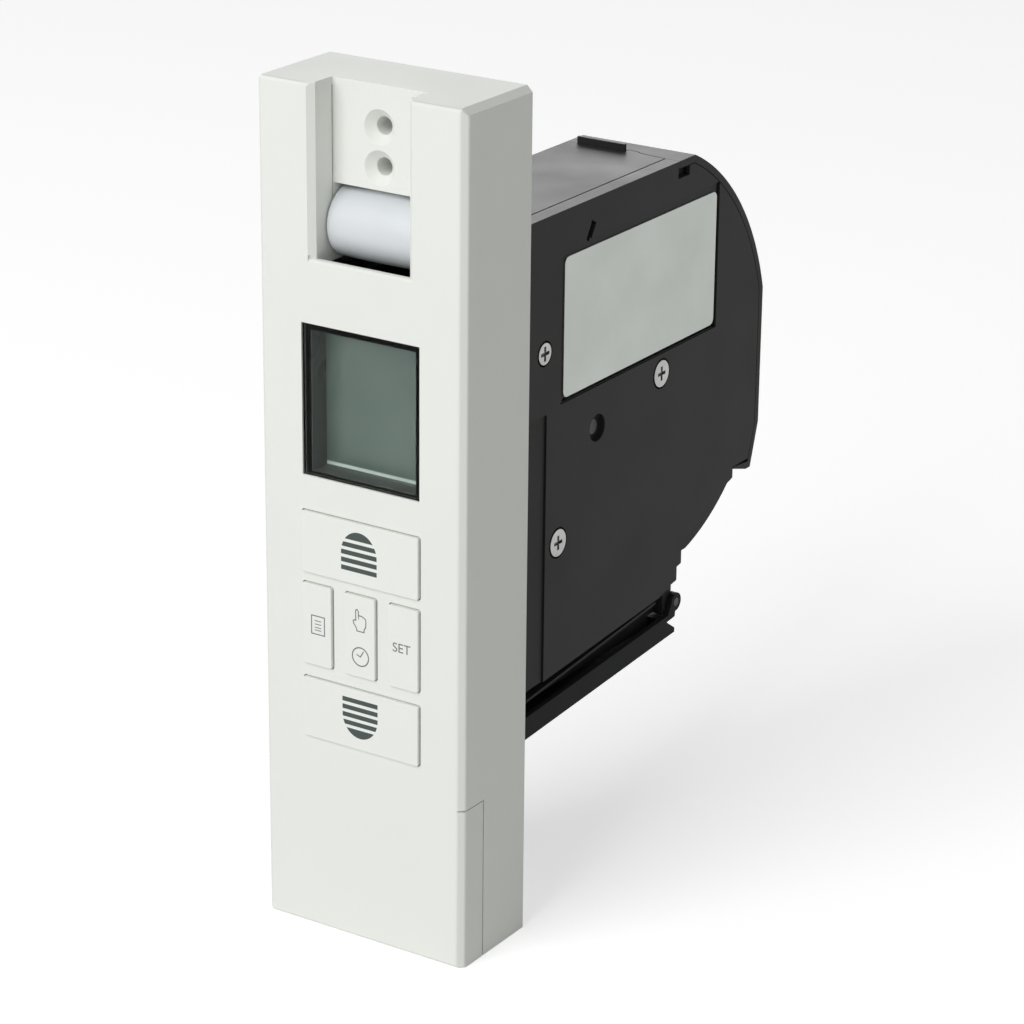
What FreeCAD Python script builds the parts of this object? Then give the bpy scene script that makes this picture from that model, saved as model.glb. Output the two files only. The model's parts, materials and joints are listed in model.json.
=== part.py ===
import FreeCAD, Part
import math
import os

# Flush-mounted electric belt winder for a roller shutter, in millimetres.
# X runs left to right seen from the room, Y runs into the wall, Z is up.
# It is laid out from the front face (Y = 0) and the bottom edge (Z = 0), and each piece is
# then shifted so that the origin is midway between the outer wall screws, on the wall.

os.makedirs("parts", exist_ok=True)
V = FreeCAD.Vector

# White front cover
coverWidth = 60.5
coverHeight = 222.0
coverDepth = 28.4
coverWall = 2.0
coverChamfer = 1.6
edgeChamfer = 0.6

# Belt channel and the window of the guide roller, measured down from the top edge
channelWidth = 27.3
channelDepth = 8.6
channelFloor = 2.2
channelChamfer = 1.55
cheekWall = 2.0
guideSlit = 0.4
cheekBackGap = 0.2
cheekFoot = 2.0
windowDrop = 26.0
windowHeight = 17.5

# Guide roller
rollerRadius = 9.2
rollerDrop = 36.15
rollerFront = 4.6
rollerEndGap = 0.3
rollerEndRound = 0.9
rollerAxleRadius = 2.5

# Wall screws
wallHoleRadius = 2.25
wallSinkRadius = 4.4
upperScrewDrop = 10.5
upperScrewPitch = 10.0
lowerScrewHeight = 36.5
screwBlockMargin = 1.2

# Mounting plate and its screws
plateThickness = 2.0
plateEdgeGap = 0.15
plateScrewInset = 5.0
plateScrewRadius = 1.4
plateScrewHeadRadius = 2.6
plateScrewLength = 9.0
bossWall = 1.6

# Lower service cover
serviceHeight = 43.6
serviceDepth = 9.9
serviceSeam = 0.5
serviceTopSeam = 0.3
serviceBackGap = 0.8
serviceTongueWidth = 6.0
serviceTonguePlace = 11.0
serviceTongueReach = 3.4
serviceTongueThickness = 1.3
serviceTongueRoot = 3.0
serviceFloor = 2.0
slideGap = 0.1

# Front layout: shares of the height between the lower cover's seam and the roller window
downKeyRise = 0.0719
downKeyShare = 0.1186
lowKeySpace = 0.0289
middleKeyShare = 0.1601
highKeySpace = 0.0222
upKeyShare = 0.1193
displayRise = 0.0682
displayShare = 0.2913
boardRise = 0.0675

# Display
displayWidth = 34.8
displayGap = 0.15
lensSet = 0.3
lensThickness = 1.4
bezelSide = 1.9
bezelBottom = 0.9
glassDepth = 7.8
glassThickness = 1.4
backlightThickness = 1.4
glassMargin = 1.8

# Keys
keySpanWidth = 35.0
keyProud = 0.9
keyGap = 0.3
keyFlange = 0.8
keyFlangeThickness = 1.0
keyRestGap = 0.1
keyTravel = 0.6
sideKeyWidth = 8.9
middleKeyWidth = 9.2
keyStemRadius = 2.0
keyStemGap = 0.15
keyCornerRadius = 0.5

# Control board
boardThickness = 1.6
boardSideMargin = 1.6
boardShelfGap = 1.9
boardScrewInset = 3.6
boardScrewRadius = 1.1
boardScrewHeadRadius = 2.1
boardScrewHead = 1.5
boardPostRadius = 2.6
switchSize = 6.0
switchHeight = 3.5
plungerRadius = 1.7
plungerHeight = 0.8
chipSize = 12.0
chipHeight = 1.4
connectorLength = 20.0
connectorHeight = 5.0
connectorWidth = 6.0
connectorWall = 1.0
reserveRadius = 5.5
reserveHeight = 5.0
reserveInset = 4.15

# Black drive body behind the wall plane
bodyLeft = 15.0
bodyRight = 20.0
bodyDrop = 39.5
bodyHeight = 124.5
bodyWall = 1.6
shellRight = 15.3
sideFrontDrop = 2.1
sideSlope = 3.78
sideCornerY = 111.3
heelBack = 3.2
guardFrontY = 116.0
bowRadius = 56.6
heelY = 117.4
stepOneY = 120.2
stepTwoY = 122.4
stepOneRise = 5.6
stepTwoRise = 9.9

# Belt reel
reelY = 109.2
reelDrop = 56.4
reelRadius = 50.0
reelSideGap = 0.3
reelHoles = 5
reelHoleShare = 0.3
reelHoleStart = 126.0
flangeThickness = 1.3
beltSpace = 23.6
drumRadius = 18.0
drumWall = 2.0
hubRadius = 7.5
reelShaftRadius = 4.0
runGap = 0.05
webThickness = 2.0
flangeBoreGap = 1.0
shaftBossLength = 3.9
hookWidth = 18.0
hookLength = 7.0
hookThickness = 1.2
hookSeat = 0.8
hookLip = 1.6

# Rear guard
guardArcY = 95.5
guardArcDrop = 7.5
guardArcRadius = 70.0
guardRearY = 163.2
guardFootY = 159.4
guardFootDrop = 41.3
guardKneeDrop = 28.8
guardWall = 2.0
guardMidAngle = 40.0
guardGap = 0.2
guardToeLength = 9.4
guardToeHeel = 2.4
guardToeRise = 2.7
guardToeTip = 0.6
guardLugY = 146.7
guardLugDrop = 41.6
guardLipHeight = 1.9
guardLipThickness = 1.0
guardLipLeft = 11.7
guardLipRight = 3.0
seamDepth = 2.0
seamKinkPlace = 3.4
seamKinkWidth = 0.8
seamKinkHigh = 0.8
seamKinkLow = 0.4

# Side cover details
sideWall = 1.6
motorCoverStep = 0.5
motorCoverWall = 1.7
motorCoverTaper = 0.9
motorCoverY = 52.7
motorCoverRise = 4.5
seamGap = 0.1
seamGrooveWidth = 0.35
seamGrooveDepth = 0.4
screwOneY = 51.5
screwOneRise = 21.1
screwThreeY = 59.0
screwThreeDrop = 31.9
sideScrewRadius = 1.6
sideScrewHeadRadius = 3.65
frontScrewHeadRadius = 2.85
sideScrewHeadGap = 0.55
sideScrewHeadThickness = 1.2
sideScrewSet = 0.1
sideScrewLength = 11.0
sideBossRadius = 3.4
crossWidth = 0.95
crossLength = 3.9
crossDepth = 0.7
serviceHoleRadius = 3.7
serviceHoleDepth = 1.7
serviceAxleProud = 0.3
labelPocketDepth = 0.5
labelPocketFront = 59.2
labelPocketBack = 137.4
labelPocketRise = 5.5
labelPocketHeight = 40.6
labelGrooveWidth = 0.9
labelGrooveDepth = 1.1
labelGrooveReach = 1.8
labelFront = 60.7
labelBack = 136.2
labelRise = 1.2
labelHeight = 37.1
labelThickness = 0.4
labelCorner = 1.8
clipSlotY = 118.3
clipSlotDrop = 3.2
clipSlotLength = 5.8
clipSlotHeight = 3.0
clipTongueSet = 2.4
slitY = 72.6
slitDrop = 8.4
slitLength = 5.2
slitWidth = 2.2
slitAngle = 59.0

# Gear train
reelGearModule = 1.0
reelGearTeeth = 52
pinionTeeth = 13
wheelModule = 0.8
wheelTeeth = 60
driveTeeth = 20
wormWheelTeeth = 20
gearBacklash = 0.12
wormWheelBacklash = 0.26
addendumShare = 0.8
dedendumShare = 1.25
flankSteps = 3
flankFoot = 0.01
pressureAngle = 20.0
reelGearThickness = 2.4
wheelThickness = 1.8
layerGap = 0.2
middleAxleRadius = 2.0
middleAxleAngle = 190.45
driveShaftRadius = 2.0
wormWheelWidth = 5.0
wormWheelHub = 4.4
wormWheelHubLength = 10.0
wormRadius = 3.5
wormThread = 0.8
wormCoreRise = 0.1
wormThreadSink = 0.3
wormTurns = 6
motorY = 34.0

# Bearings
bushWall = 1.5
bushLength = 3.2
bushFlange = 0.8
bracketThickness = 2.2
bracketMargin = 3.0
bracketPostY = 50.0
bracketPostDrop = 12.2
bracketPostRadius = 2.6
driveScrewRadius = 1.2
driveScrewHeadRadius = 2.2
driveScrewHead = 1.4
bracketReach = 12.0
ledgeThickness = 3.5
ledgeRise = 2.0
ledgeReach = 4.5
ledgeRear = 39.0

# Motor
motorRadius = 12.6
motorWall = 1.0
motorWormGap = 5.6
motorLength = 33.5
motorPlate = 1.6
motorPlateWidth = 16.6
motorRibReach = 2.6
motorRibDepth = 4.8
motorRibHeight = 3.2
motorPlateSet = 8.0
motorCapRadius = 11.4
motorCapLength = 2.6
motorShaftRadius = 1.5
motorNeckRadius = 3.2
magnetThickness = 2.2
magnetGap = 0.6
magnetLength = 22.0
magnetSplit = 3.9
armatureLength = 20.0
armatureSlots = 5
armatureSlotShare = 0.55
motorScrewPlace = 8.0
ringRadius = 4.5
ringHeight = 3.0
ringGap = 0.5
sensorThickness = 1.2
sensorHeight = 9.5
sensorWidth = 14.0

# Body to plate screws
bodyScrewDrop = 27.5
bodyScrewRise = 4.4
bodyScrewInset = 4.0
bodyScrewRadius = 1.3
bodyScrewHeadRadius = 2.4
bodyScrewHead = 1.4
bodyScrewLength = 10.0
bodyBossLength = 12.0

# Power board under the reel
powerLift = 2.4
powerThickness = 1.6
powerFront = 50.0
powerBack = 112.0
powerHalf = 12.4
powerPostInset = 3.2
powerPostRadius = 2.2
transformerLength = 21.0
transformerWidth = 20.0
transformerHeight = 17.0
transformerCore = 6.0
bobbinInset = 2.0
capacitorLength = 17.0
capacitorWidth = 8.0
capacitorHeight = 11.0
relayLength = 11.0
relayWidth = 15.0
relayHeight = 7.6
partSpacing = 2.5

# Terminals under the body
terminalFront = 62.0
terminalLength = 14.0
terminalHalf = 10.5
terminalDrop = 5.8
terminalScrewRadius = 1.7
terminalScrewDepth = 3.0
terminalPoles = 3
terminalPitch = 6.6
terminalGap = 0.2
clampFront = 88.0
clampLength = 6.0
clampHalf = 9.5
clampBar = 1.8
clampSpace = 4.4
clampPost = 3.0
skirtDrop = 7.0
skirtFront = 40.0
skirtBack = 113.0
skirtWall = 1.4
skirtSet = 0.8
ribReach = 2.5
ribThickness = 0.8
ribFrontDrop = 5.3
ribBackRise = 1.1
webRise = 5.2
webBackGap = 0.8
lugCheekReach = 1.5
lugTopGap = 0.5
earBackY = 125.4
earTopRise = 3.0

# Terminal flap
flapFront = 30.5
flapFrontDrop = 14.75
flapBackDrop = 9.6
flapBackY = 119.9
flapHeight = 6.2
flapShoulder = 4.2
flapWall = 1.6
flapSkin = 1.0
flapHeelRise = 1.3
flapEarDrop = 5.0
hingeY = 120.4
hingeDrop = 0.9
hingePinRadius = 1.2
hingeBarrel = 2.6
flapNotchY = 115.7
flapNotchDrop = 5.4

# How far each cut runs past the face that it opens, and the most that a picked edge slants
past = 1.0
slantAngle = 8.0

# Worked-out places
halfWidth = coverWidth / 2
plateFront = coverDepth - plateThickness
innerHalf = halfWidth - coverWall
windowTop = coverHeight - windowDrop
windowBottom = windowTop - windowHeight
rollerY = rollerFront + rollerRadius
rollerZ = coverHeight - rollerDrop
channelHalf = channelWidth / 2
cheekOut = channelHalf + cheekWall
upperScrewHigh = coverHeight - upperScrewDrop
upperScrewLow = upperScrewHigh - upperScrewPitch
originHeight = (upperScrewHigh + lowerScrewHeight) / 2
displayHalf = displayWidth / 2
frontSpan = windowBottom - serviceHeight
downKeyBottom = serviceHeight + frontSpan * downKeyRise
downKeyTop = downKeyBottom + frontSpan * downKeyShare
middleKeyBottom = downKeyTop + frontSpan * lowKeySpace
middleKeyTop = middleKeyBottom + frontSpan * middleKeyShare
upKeyBottom = middleKeyTop + frontSpan * highKeySpace
upKeyTop = upKeyBottom + frontSpan * upKeyShare
displayBottom = upKeyTop + frontSpan * displayRise
displayTop = displayBottom + frontSpan * displayShare
shelfBottom = serviceHeight + serviceTongueReach + slideGap
boardBottom = shelfBottom + coverWall + boardShelfGap
boardTop = displayTop + frontSpan * boardRise
chipPlace = (middleKeyBottom + middleKeyTop) / 2
connectorPlace = (upKeyBottom + upKeyTop) / 2
reservePlace = (downKeyTop + middleKeyBottom) / 2
boardFront = glassDepth + glassThickness + backlightThickness
boardBack = boardFront + boardThickness
boardHalf = innerHalf - boardSideMargin
reserveSide = boardHalf - reserveRadius - reserveInset
bodyTop = coverHeight - bodyDrop
bodyBottom = bodyTop - bodyHeight
reelZ = bodyTop - reelDrop
stepOneZ = bodyBottom + stepOneRise
stepTwoZ = bodyBottom + stepTwoRise
guardArcZ = reelZ - guardArcDrop
guardFootZ = reelZ - guardFootDrop
guardKneeZ = reelZ - guardKneeDrop
guardLugZ = reelZ - guardLugDrop
motorCoverTop = reelZ + motorCoverRise
screwOneZ = reelZ + screwOneRise
screwThreeZ = reelZ - screwThreeDrop
labelPocketLow = reelZ + labelPocketRise
labelPocketHigh = labelPocketLow + labelPocketHeight
labelLow = labelPocketLow + labelRise
labelHigh = labelLow + labelHeight
clipSlotZ = bodyTop - clipSlotDrop
slitZ = bodyTop - slitDrop
bodyScrewHigh = bodyTop - bodyScrewDrop
bodyScrewLow = bodyBottom + bodyScrewRise
flapLowFront = bodyBottom - flapFrontDrop
flapLowBack = bodyBottom - flapBackDrop
flapNotchZ = bodyBottom - flapNotchDrop
flapEarZ = bodyBottom - flapEarDrop
hingeZ = bodyBottom - hingeDrop
shellLeftInner = -(bodyLeft - bodyWall)
sideInner = bodyRight - sideWall
shellInnerBottom = bodyBottom + bodyWall
sideLowest = bodyBottom - sideFrontDrop
beltHalf = beltSpace / 2
reelHalf = beltHalf + flangeThickness
gearLayerOne = reelHalf
gearLayerTwo = reelHalf + reelGearThickness + layerGap
reelPitch = reelGearModule * reelGearTeeth / 2
pinionPitch = reelGearModule * pinionTeeth / 2
wheelPitch = wheelModule * wheelTeeth / 2
drivePitch = wheelModule * driveTeeth / 2
wormWheelPitch = wheelModule * wormWheelTeeth / 2
middleTurn = math.radians(middleAxleAngle)
middleY = reelY + (reelPitch + pinionPitch) * math.cos(middleTurn)
middleZ = reelZ + (reelPitch + pinionPitch) * math.sin(middleTurn)
driveY = motorY + wormRadius + wormWheelPitch
driveReach = wheelPitch + drivePitch
driveZ = middleZ - math.sqrt(driveReach ** 2 - (middleY - driveY) ** 2)
bracketHigh = driveZ + bracketPostDrop
bracketLow = driveZ - bracketPostDrop
bracketLeft = reelHalf - layerGap
wormPitch = math.pi * wheelModule
wormLength = wormPitch * wormTurns
wormBottom = driveZ - wormLength / 2
ledgeBottom = driveZ + wormLength / 2 + ledgeRise
ledgeTop = ledgeBottom + ledgeThickness
bushRadius = driveShaftRadius + runGap + bushWall
smallBushRadius = motorShaftRadius + runGap + bushWall
motorTop = wormBottom - motorWormGap
powerBottom = shellInnerBottom + powerLift
powerTop = powerBottom + powerThickness
capTop = motorTop - motorLength
ringBottom = ledgeTop + bushFlange + ringGap
alongShare = math.cos(math.radians(slantAngle))


def block(x0, x1, y0, y1, z0, z1):
    return Part.makeBox(x1 - x0, y1 - y0, z1 - z0, V(x0, y0, z0))


def rodX(y, z, r, x0, x1):
    return Part.makeCylinder(r, x1 - x0, V(x0, y, z), V(1, 0, 0))


def rodY(x, z, r, y0, y1):
    return Part.makeCylinder(r, y1 - y0, V(x, y0, z), V(0, 1, 0))


def rodZ(x, y, r, z0, z1):
    return Part.makeCylinder(r, z1 - z0, V(x, y, z0), V(0, 0, 1))


def coneY(x, z, r0, r1, y0, y1):
    return Part.makeCone(r0, r1, y1 - y0, V(x, y0, z), V(0, 1, 0))


def prismX(points, x0, x1):
    corners = [V(x0, y, z) for y, z in points]
    face = Part.Face(Part.makePolygon(corners + corners[:1]))
    return face.extrude(V(x1 - x0, 0, 0))


def prismZ(points, z0, z1):
    corners = [V(x, y, z0) for x, y in points]
    face = Part.Face(Part.makePolygon(corners + corners[:1]))
    return face.extrude(V(0, 0, z1 - z0))


def edgeX(edges, x0, x1):
    face = Part.Face(Part.Wire(edges))
    return face.extrude(V(x1 - x0, 0, 0))


def roundY(shape, radius):
    picked = [e for e in shape.Edges if abs(e.tangentAt(e.FirstParameter).y) > alongShare]
    return shape.makeFillet(radius, picked)


def save(name, shape):
    shape = shape.copy()
    shape.translate(V(0, -coverDepth, -originHeight))
    solids = shape.Solids
    keep = solids[0] if len(solids) == 1 else Part.makeCompound(solids)
    print(name, len(solids), "solid" if len(solids) == 1 else "solids",
          round(sum(s.Volume for s in solids)), "mm3", "ok" if keep.isValid() else "INVALID")
    keep.exportStep("parts/" + name + ".step")


# White front cover: a box open at the back, with the belt channel let into its top
def coverBox(z0, z1, depth):
    w, c = halfWidth, coverChamfer
    outline = [(-w + c, 0), (w - c, 0), (w, c), (w, depth), (-w, depth), (-w, c)]
    return prismZ(outline, z0, z1)


outer = coverBox(0, coverHeight, coverDepth)
for side in (-1, 1):
    corner = [V(side * halfWidth, -past, coverHeight - coverChamfer),
              V(side * halfWidth, -past, coverHeight),
              V(side * (halfWidth - coverChamfer), -past, coverHeight)]
    face = Part.Face(Part.makePolygon(corner + corner[:1]))
    wedge = face.extrude(V(0, coverDepth + 2 * past, 0))
    outer = outer.cut(wedge)
frontTop = [(-past, coverHeight - edgeChamfer), (0, coverHeight - edgeChamfer),
            (edgeChamfer, coverHeight), (edgeChamfer, coverHeight + past),
            (-past, coverHeight + past)]
frontLow = [(-past, edgeChamfer), (0, edgeChamfer), (edgeChamfer, 0), (edgeChamfer, -past),
            (-past, -past)]
outer = outer.cut(prismX(frontTop, -halfWidth - past, halfWidth + past))
outer = outer.cut(prismX(frontLow, -halfWidth - past, halfWidth + past))
cavity = block(-innerHalf, innerHalf, coverWall, coverDepth + past, coverWall,
               coverHeight - coverWall)
cover = outer.cut(cavity)
serviceZone = block(-halfWidth - past, halfWidth + past, -past, serviceDepth, -past,
                    serviceHeight)
cover = cover.cut(serviceZone)

# Inner wall behind the service cover, with the seat of the lower wall screw
innerWallFront = serviceDepth + serviceBackGap
innerWall = block(-innerHalf, innerHalf, innerWallFront, innerWallFront + coverWall,
                  coverWall, serviceHeight + coverWall)
shelf = block(-innerHalf, innerHalf, coverWall, innerWallFront + coverWall, shelfBottom,
              shelfBottom + coverWall)
joinWall = block(-innerHalf, innerHalf, innerWallFront, innerWallFront + coverWall,
                 serviceHeight, shelfBottom + coverWall)
cover = cover.fuse([innerWall, shelf, joinWall])

# Side walls of the channel, and the seat of the lower wall screw
channelWalls = []
for side in (-1, 1):
    inner, outside = sorted((side * channelHalf, side * cheekOut))
    channelWalls.append(block(inner, outside, coverWall / 2, channelDepth - guideSlit,
                              windowBottom - cheekFoot, coverHeight - coverWall / 2))
blockHalf = wallSinkRadius + screwBlockMargin
lowerSeat = rodY(0, lowerScrewHeight, blockHalf, innerWallFront, plateFront)
cover = cover.fuse([lowerSeat] + channelWalls)

# Posts of the control board and bosses of the mounting plate
boardSpots = [(s * (boardHalf - boardScrewInset), z)
              for s in (-1, 1) for z in (boardBottom + boardScrewInset, boardTop - boardScrewInset)]
plateSpots = [(s * (innerHalf - plateScrewInset), z)
              for s in (-1, 1) for z in (coverWall + plateScrewInset,
                                         coverHeight - coverWall - plateScrewInset)]
boardPosts = [rodY(x, z, boardPostRadius, coverWall / 2, boardFront) for x, z in boardSpots]
plateBosses = []
for x, z in plateSpots:
    start = innerWallFront if z < serviceHeight else coverWall / 2
    plateBosses.append(rodY(x, z, plateScrewRadius + bossWall, start, plateFront))
cover = cover.fuse(boardPosts + plateBosses)

# Openings of the cover
cover = cover.cut(block(-channelHalf, channelHalf, -past, channelDepth, windowTop - past,
                        coverHeight + past))
cover = cover.cut(block(-channelHalf, channelHalf, -past, channelDepth, windowBottom,
                        windowTop))
for side in (-1, 1):
    within = side * (channelHalf - past)
    bevel = [(side * (channelHalf + channelChamfer), 0), (side * channelHalf, channelChamfer),
             (within, channelChamfer), (within, -past),
             (side * (channelHalf + channelChamfer), -past)]
    cover = cover.cut(prismZ(bevel, windowBottom, coverHeight + past))
sill = [(-past, windowBottom - edgeChamfer), (0, windowBottom - edgeChamfer),
        (edgeChamfer, windowBottom), (edgeChamfer, windowBottom + past),
        (-past, windowBottom + past)]
cover = cover.cut(prismX(sill, -channelHalf - channelChamfer, channelHalf + channelChamfer))
sinkDepth = wallSinkRadius - wallHoleRadius
cover = cover.cut(rodY(0, lowerScrewHeight, wallHoleRadius, serviceDepth, coverDepth))
cover = cover.cut(coneY(0, lowerScrewHeight, wallSinkRadius, wallHoleRadius, innerWallFront,
                        innerWallFront + sinkDepth))
cover = cover.cut(block(-displayHalf, displayHalf, -past, coverWall + past, displayBottom,
                        displayTop))
for x, z in boardSpots:
    cover = cover.cut(rodY(x, z, boardScrewRadius, coverWall, boardFront + past))
for x, z in plateSpots:
    cover = cover.cut(rodY(x, z, plateScrewRadius, coverDepth - plateScrewLength, coverDepth))

# Keys and the openings that they pass through
keyHalf = keySpanWidth / 2
middleHalf = middleKeyWidth / 2
keys = {
    "key_up": (-keyHalf, keyHalf, upKeyBottom, upKeyTop),
    "key_menu": (-keyHalf, -keyHalf + sideKeyWidth, middleKeyBottom, middleKeyTop),
    "key_mode": (-middleHalf, middleHalf, middleKeyBottom, middleKeyTop),
    "key_set": (keyHalf - sideKeyWidth, keyHalf, middleKeyBottom, middleKeyTop),
    "key_down": (-keyHalf, keyHalf, downKeyBottom, downKeyTop),
}
flangeFront = coverWall + keyRestGap
plungerTip = boardFront - switchHeight - plungerHeight
stemEnd = plungerTip - keyTravel - keyStemGap
switches = []
for name, (x0, x1, z0, z1) in keys.items():
    hole = roundY(block(x0 - keyGap, x1 + keyGap, -past, coverWall + past, z0 - keyGap,
                        z1 + keyGap), keyCornerRadius + keyGap)
    cover = cover.cut(hole)
    cap = roundY(block(x0, x1, -keyProud, flangeFront + keyFlangeThickness, z0, z1),
                 keyCornerRadius)
    lip = block(x0 - keyFlange, x1 + keyFlange, flangeFront, flangeFront + keyFlangeThickness,
                z0 - keyFlange, z1 + keyFlange)
    midX, midZ = (x0 + x1) / 2, (z0 + z1) / 2
    stem = rodY(midX, midZ, keyStemRadius, flangeFront, stemEnd)
    save(name, cap.fuse([lip, stem]).removeSplitter())
    base = block(midX - switchSize / 2, midX + switchSize / 2, boardFront - switchHeight,
                 boardFront, midZ - switchSize / 2, midZ + switchSize / 2)
    plunger = rodY(midX, midZ, plungerRadius, plungerTip, boardFront - switchHeight)
    switches.append(base.fuse(plunger))
save("key_switches", Part.makeCompound(switches))
save("front_cover", cover.removeSplitter())

# Belt guide: floor of the channel, seat of the upper wall screws and cheeks of the roller
cheekBack = plateFront - cheekBackGap
guideTop = coverHeight - coverWall
guide = block(-cheekOut, cheekOut, channelDepth, channelDepth + channelFloor, windowTop,
              guideTop)
guide = guide.fuse(block(-blockHalf, blockHalf, channelDepth + channelFloor / 2, plateFront,
                         upperScrewLow - blockHalf, guideTop))
for side in (-1, 1):
    inner, outside = sorted((side * channelHalf, side * cheekOut))
    guide = guide.fuse(block(inner, outside, channelDepth, cheekBack,
                             windowBottom - cheekFoot, rollerZ + rollerRadius + cheekFoot))
for z in (upperScrewHigh, upperScrewLow):
    guide = guide.cut(rodY(0, z, wallHoleRadius, channelDepth, coverDepth))
    guide = guide.cut(coneY(0, z, wallSinkRadius, wallHoleRadius, channelDepth,
                            channelDepth + sinkDepth))
guide = guide.cut(rodX(rollerY, rollerZ, rollerAxleRadius, -cheekOut, cheekOut))
save("belt_guide", guide.removeSplitter())

# Lower service cover: slides down off the front cover
service = coverBox(0, serviceHeight, serviceDepth - serviceSeam)
service = service.cut(prismX(frontLow, -halfWidth - past, halfWidth + past))
service = service.cut(block(-innerHalf, innerHalf, coverWall, serviceDepth + past, serviceFloor,
                            serviceHeight + past))
for side in (-1, 1):
    mid = side * serviceTonguePlace
    service = service.fuse(block(mid - serviceTongueWidth / 2, mid + serviceTongueWidth / 2,
                                 coverWall + slideGap,
                                 coverWall + slideGap + serviceTongueThickness,
                                 serviceHeight - serviceTongueRoot,
                                 serviceHeight + serviceTongueReach))
    service = service.fuse(block(mid - serviceTongueWidth / 2, mid + serviceTongueWidth / 2,
                                 coverWall / 2, coverWall + slideGap,
                                 serviceHeight - serviceTongueRoot, serviceHeight))
for side in (-1, 1):
    x0, x1 = sorted((side * (innerHalf + coverWall - coverChamfer), side * (halfWidth + past)))
    service = service.cut(block(x0, x1, -past, serviceDepth, serviceHeight - serviceTopSeam,
                                serviceHeight + past))
save("service_cover", service.removeSplitter())

# Mounting plate that closes the back of the cover
plateHalf = innerHalf - plateEdgeGap
openLeft = shellLeftInner
openRight = shellRight - bodyWall
plate = block(-plateHalf, plateHalf, plateFront, coverDepth, coverWall + plateEdgeGap,
              coverHeight - coverWall - plateEdgeGap)
plate = plate.cut(block(openLeft, openRight, plateFront - past, coverDepth + past,
                        bodyScrewLow + bodyScrewHeadRadius + bodyWall, bodyTop - bodyWall))
for z in (upperScrewHigh, upperScrewLow, lowerScrewHeight):
    plate = plate.cut(rodY(0, z, wallHoleRadius, plateFront - past, coverDepth + past))
screwLeft = -bodyLeft + bodyScrewInset
screwRight = shellRight - bodyScrewInset
bodySpots = [(x, z) for x in (screwLeft, screwRight) for z in (bodyScrewLow, bodyScrewHigh)]
earRadius = bodyScrewHeadRadius + bodyScrewRadius
for x, z in bodySpots:
    plate = plate.fuse(rodY(x, z, earRadius, plateFront, coverDepth))
    plate = plate.cut(rodY(x, z, bodyScrewRadius, plateFront - past, coverDepth + past))
for x, z in plateSpots:
    plate = plate.cut(rodY(x, z, plateScrewRadius, plateFront - past, coverDepth + past))
    plate = plate.cut(coneY(x, z, plateScrewRadius, plateScrewHeadRadius,
                            coverDepth - (plateScrewHeadRadius - plateScrewRadius), coverDepth))
save("mounting_plate", plate.removeSplitter())

plateScrews = []
for x, z in plateSpots:
    head = coneY(x, z, plateScrewRadius, plateScrewHeadRadius,
                 coverDepth - (plateScrewHeadRadius - plateScrewRadius), coverDepth)
    shank = rodY(x, z, plateScrewRadius, coverDepth - plateScrewLength, coverDepth)
    slot = block(x - crossLength / 2, x + crossLength / 2, coverDepth - crossDepth,
                 coverDepth + past, z - crossWidth / 2, z + crossWidth / 2)
    slotTwo = block(x - crossWidth / 2, x + crossWidth / 2, coverDepth - crossDepth,
                    coverDepth + past, z - crossLength / 2, z + crossLength / 2)
    plateScrews.append(head.fuse(shank).cut(slot).cut(slotTwo))
save("plate_screws", Part.makeCompound(plateScrews))

# Guide roller and its axle
rollerHalf = channelHalf - rollerEndGap
roller = rodX(rollerY, rollerZ, rollerRadius, -rollerHalf, rollerHalf)
roller = roller.makeFillet(rollerEndRound, [e for e in roller.Edges if len(e.Vertexes) == 1])
roller = roller.cut(rodX(rollerY, rollerZ, rollerAxleRadius + runGap, -rollerHalf - past,
                         rollerHalf + past))
save("guide_roller", roller)
save("roller_axle", rodX(rollerY, rollerZ, rollerAxleRadius, -cheekOut, cheekOut))

# Display: clear lens, black bezel, glass and backlight
save("display_lens", block(-displayHalf + displayGap, displayHalf - displayGap, lensSet,
                           lensSet + lensThickness, displayBottom + displayGap,
                           displayTop - displayGap))
bezel = block(-displayHalf + displayGap, displayHalf - displayGap, lensSet + lensThickness,
              glassDepth, displayBottom + displayGap, displayTop - displayGap)
bezel = bezel.cut(block(-displayHalf + displayGap + bezelSide, displayHalf - displayGap - bezelSide,
                        0, glassDepth + past, displayBottom + displayGap + bezelBottom,
                        displayTop - displayGap - bezelSide))
save("display_bezel", bezel)
save("display_glass", block(-displayHalf - glassMargin, displayHalf + glassMargin, glassDepth,
                            glassDepth + glassThickness, displayBottom - glassMargin,
                            displayTop + glassMargin))
save("display_backlight", block(-displayHalf - glassMargin, displayHalf + glassMargin,
                                glassDepth + glassThickness, boardFront,
                                displayBottom - glassMargin, displayTop + glassMargin))

# Control board with its parts
board = block(-boardHalf, boardHalf, boardFront, boardBack, boardBottom, boardTop)
boardScrews = []
for x, z in boardSpots:
    board = board.cut(rodY(x, z, boardScrewRadius + displayGap, boardFront - past, boardBack + past))
    shank = rodY(x, z, boardScrewRadius, coverWall + boardScrewRadius, boardBack)
    head = rodY(x, z, boardScrewHeadRadius, boardBack, boardBack + boardScrewHead)
    slot = block(x - boardScrewHeadRadius, x + boardScrewHeadRadius,
                 boardBack + boardScrewHead - crossDepth, boardBack + boardScrewHead + past,
                 z - crossWidth / 2, z + crossWidth / 2)
    boardScrews.append(shank.fuse(head).cut(slot))
save("control_board", board)
save("board_screws", Part.makeCompound(boardScrews))
save("control_chip", block(-chipSize / 2, chipSize / 2, boardBack, boardBack + chipHeight,
                           chipPlace - chipSize / 2, chipPlace + chipSize / 2))
socket = block(-connectorLength / 2, connectorLength / 2, boardBack, boardBack + connectorHeight,
               connectorPlace - connectorWidth / 2, connectorPlace + connectorWidth / 2)
socketHalf = connectorLength / 2 - connectorWall
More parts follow.
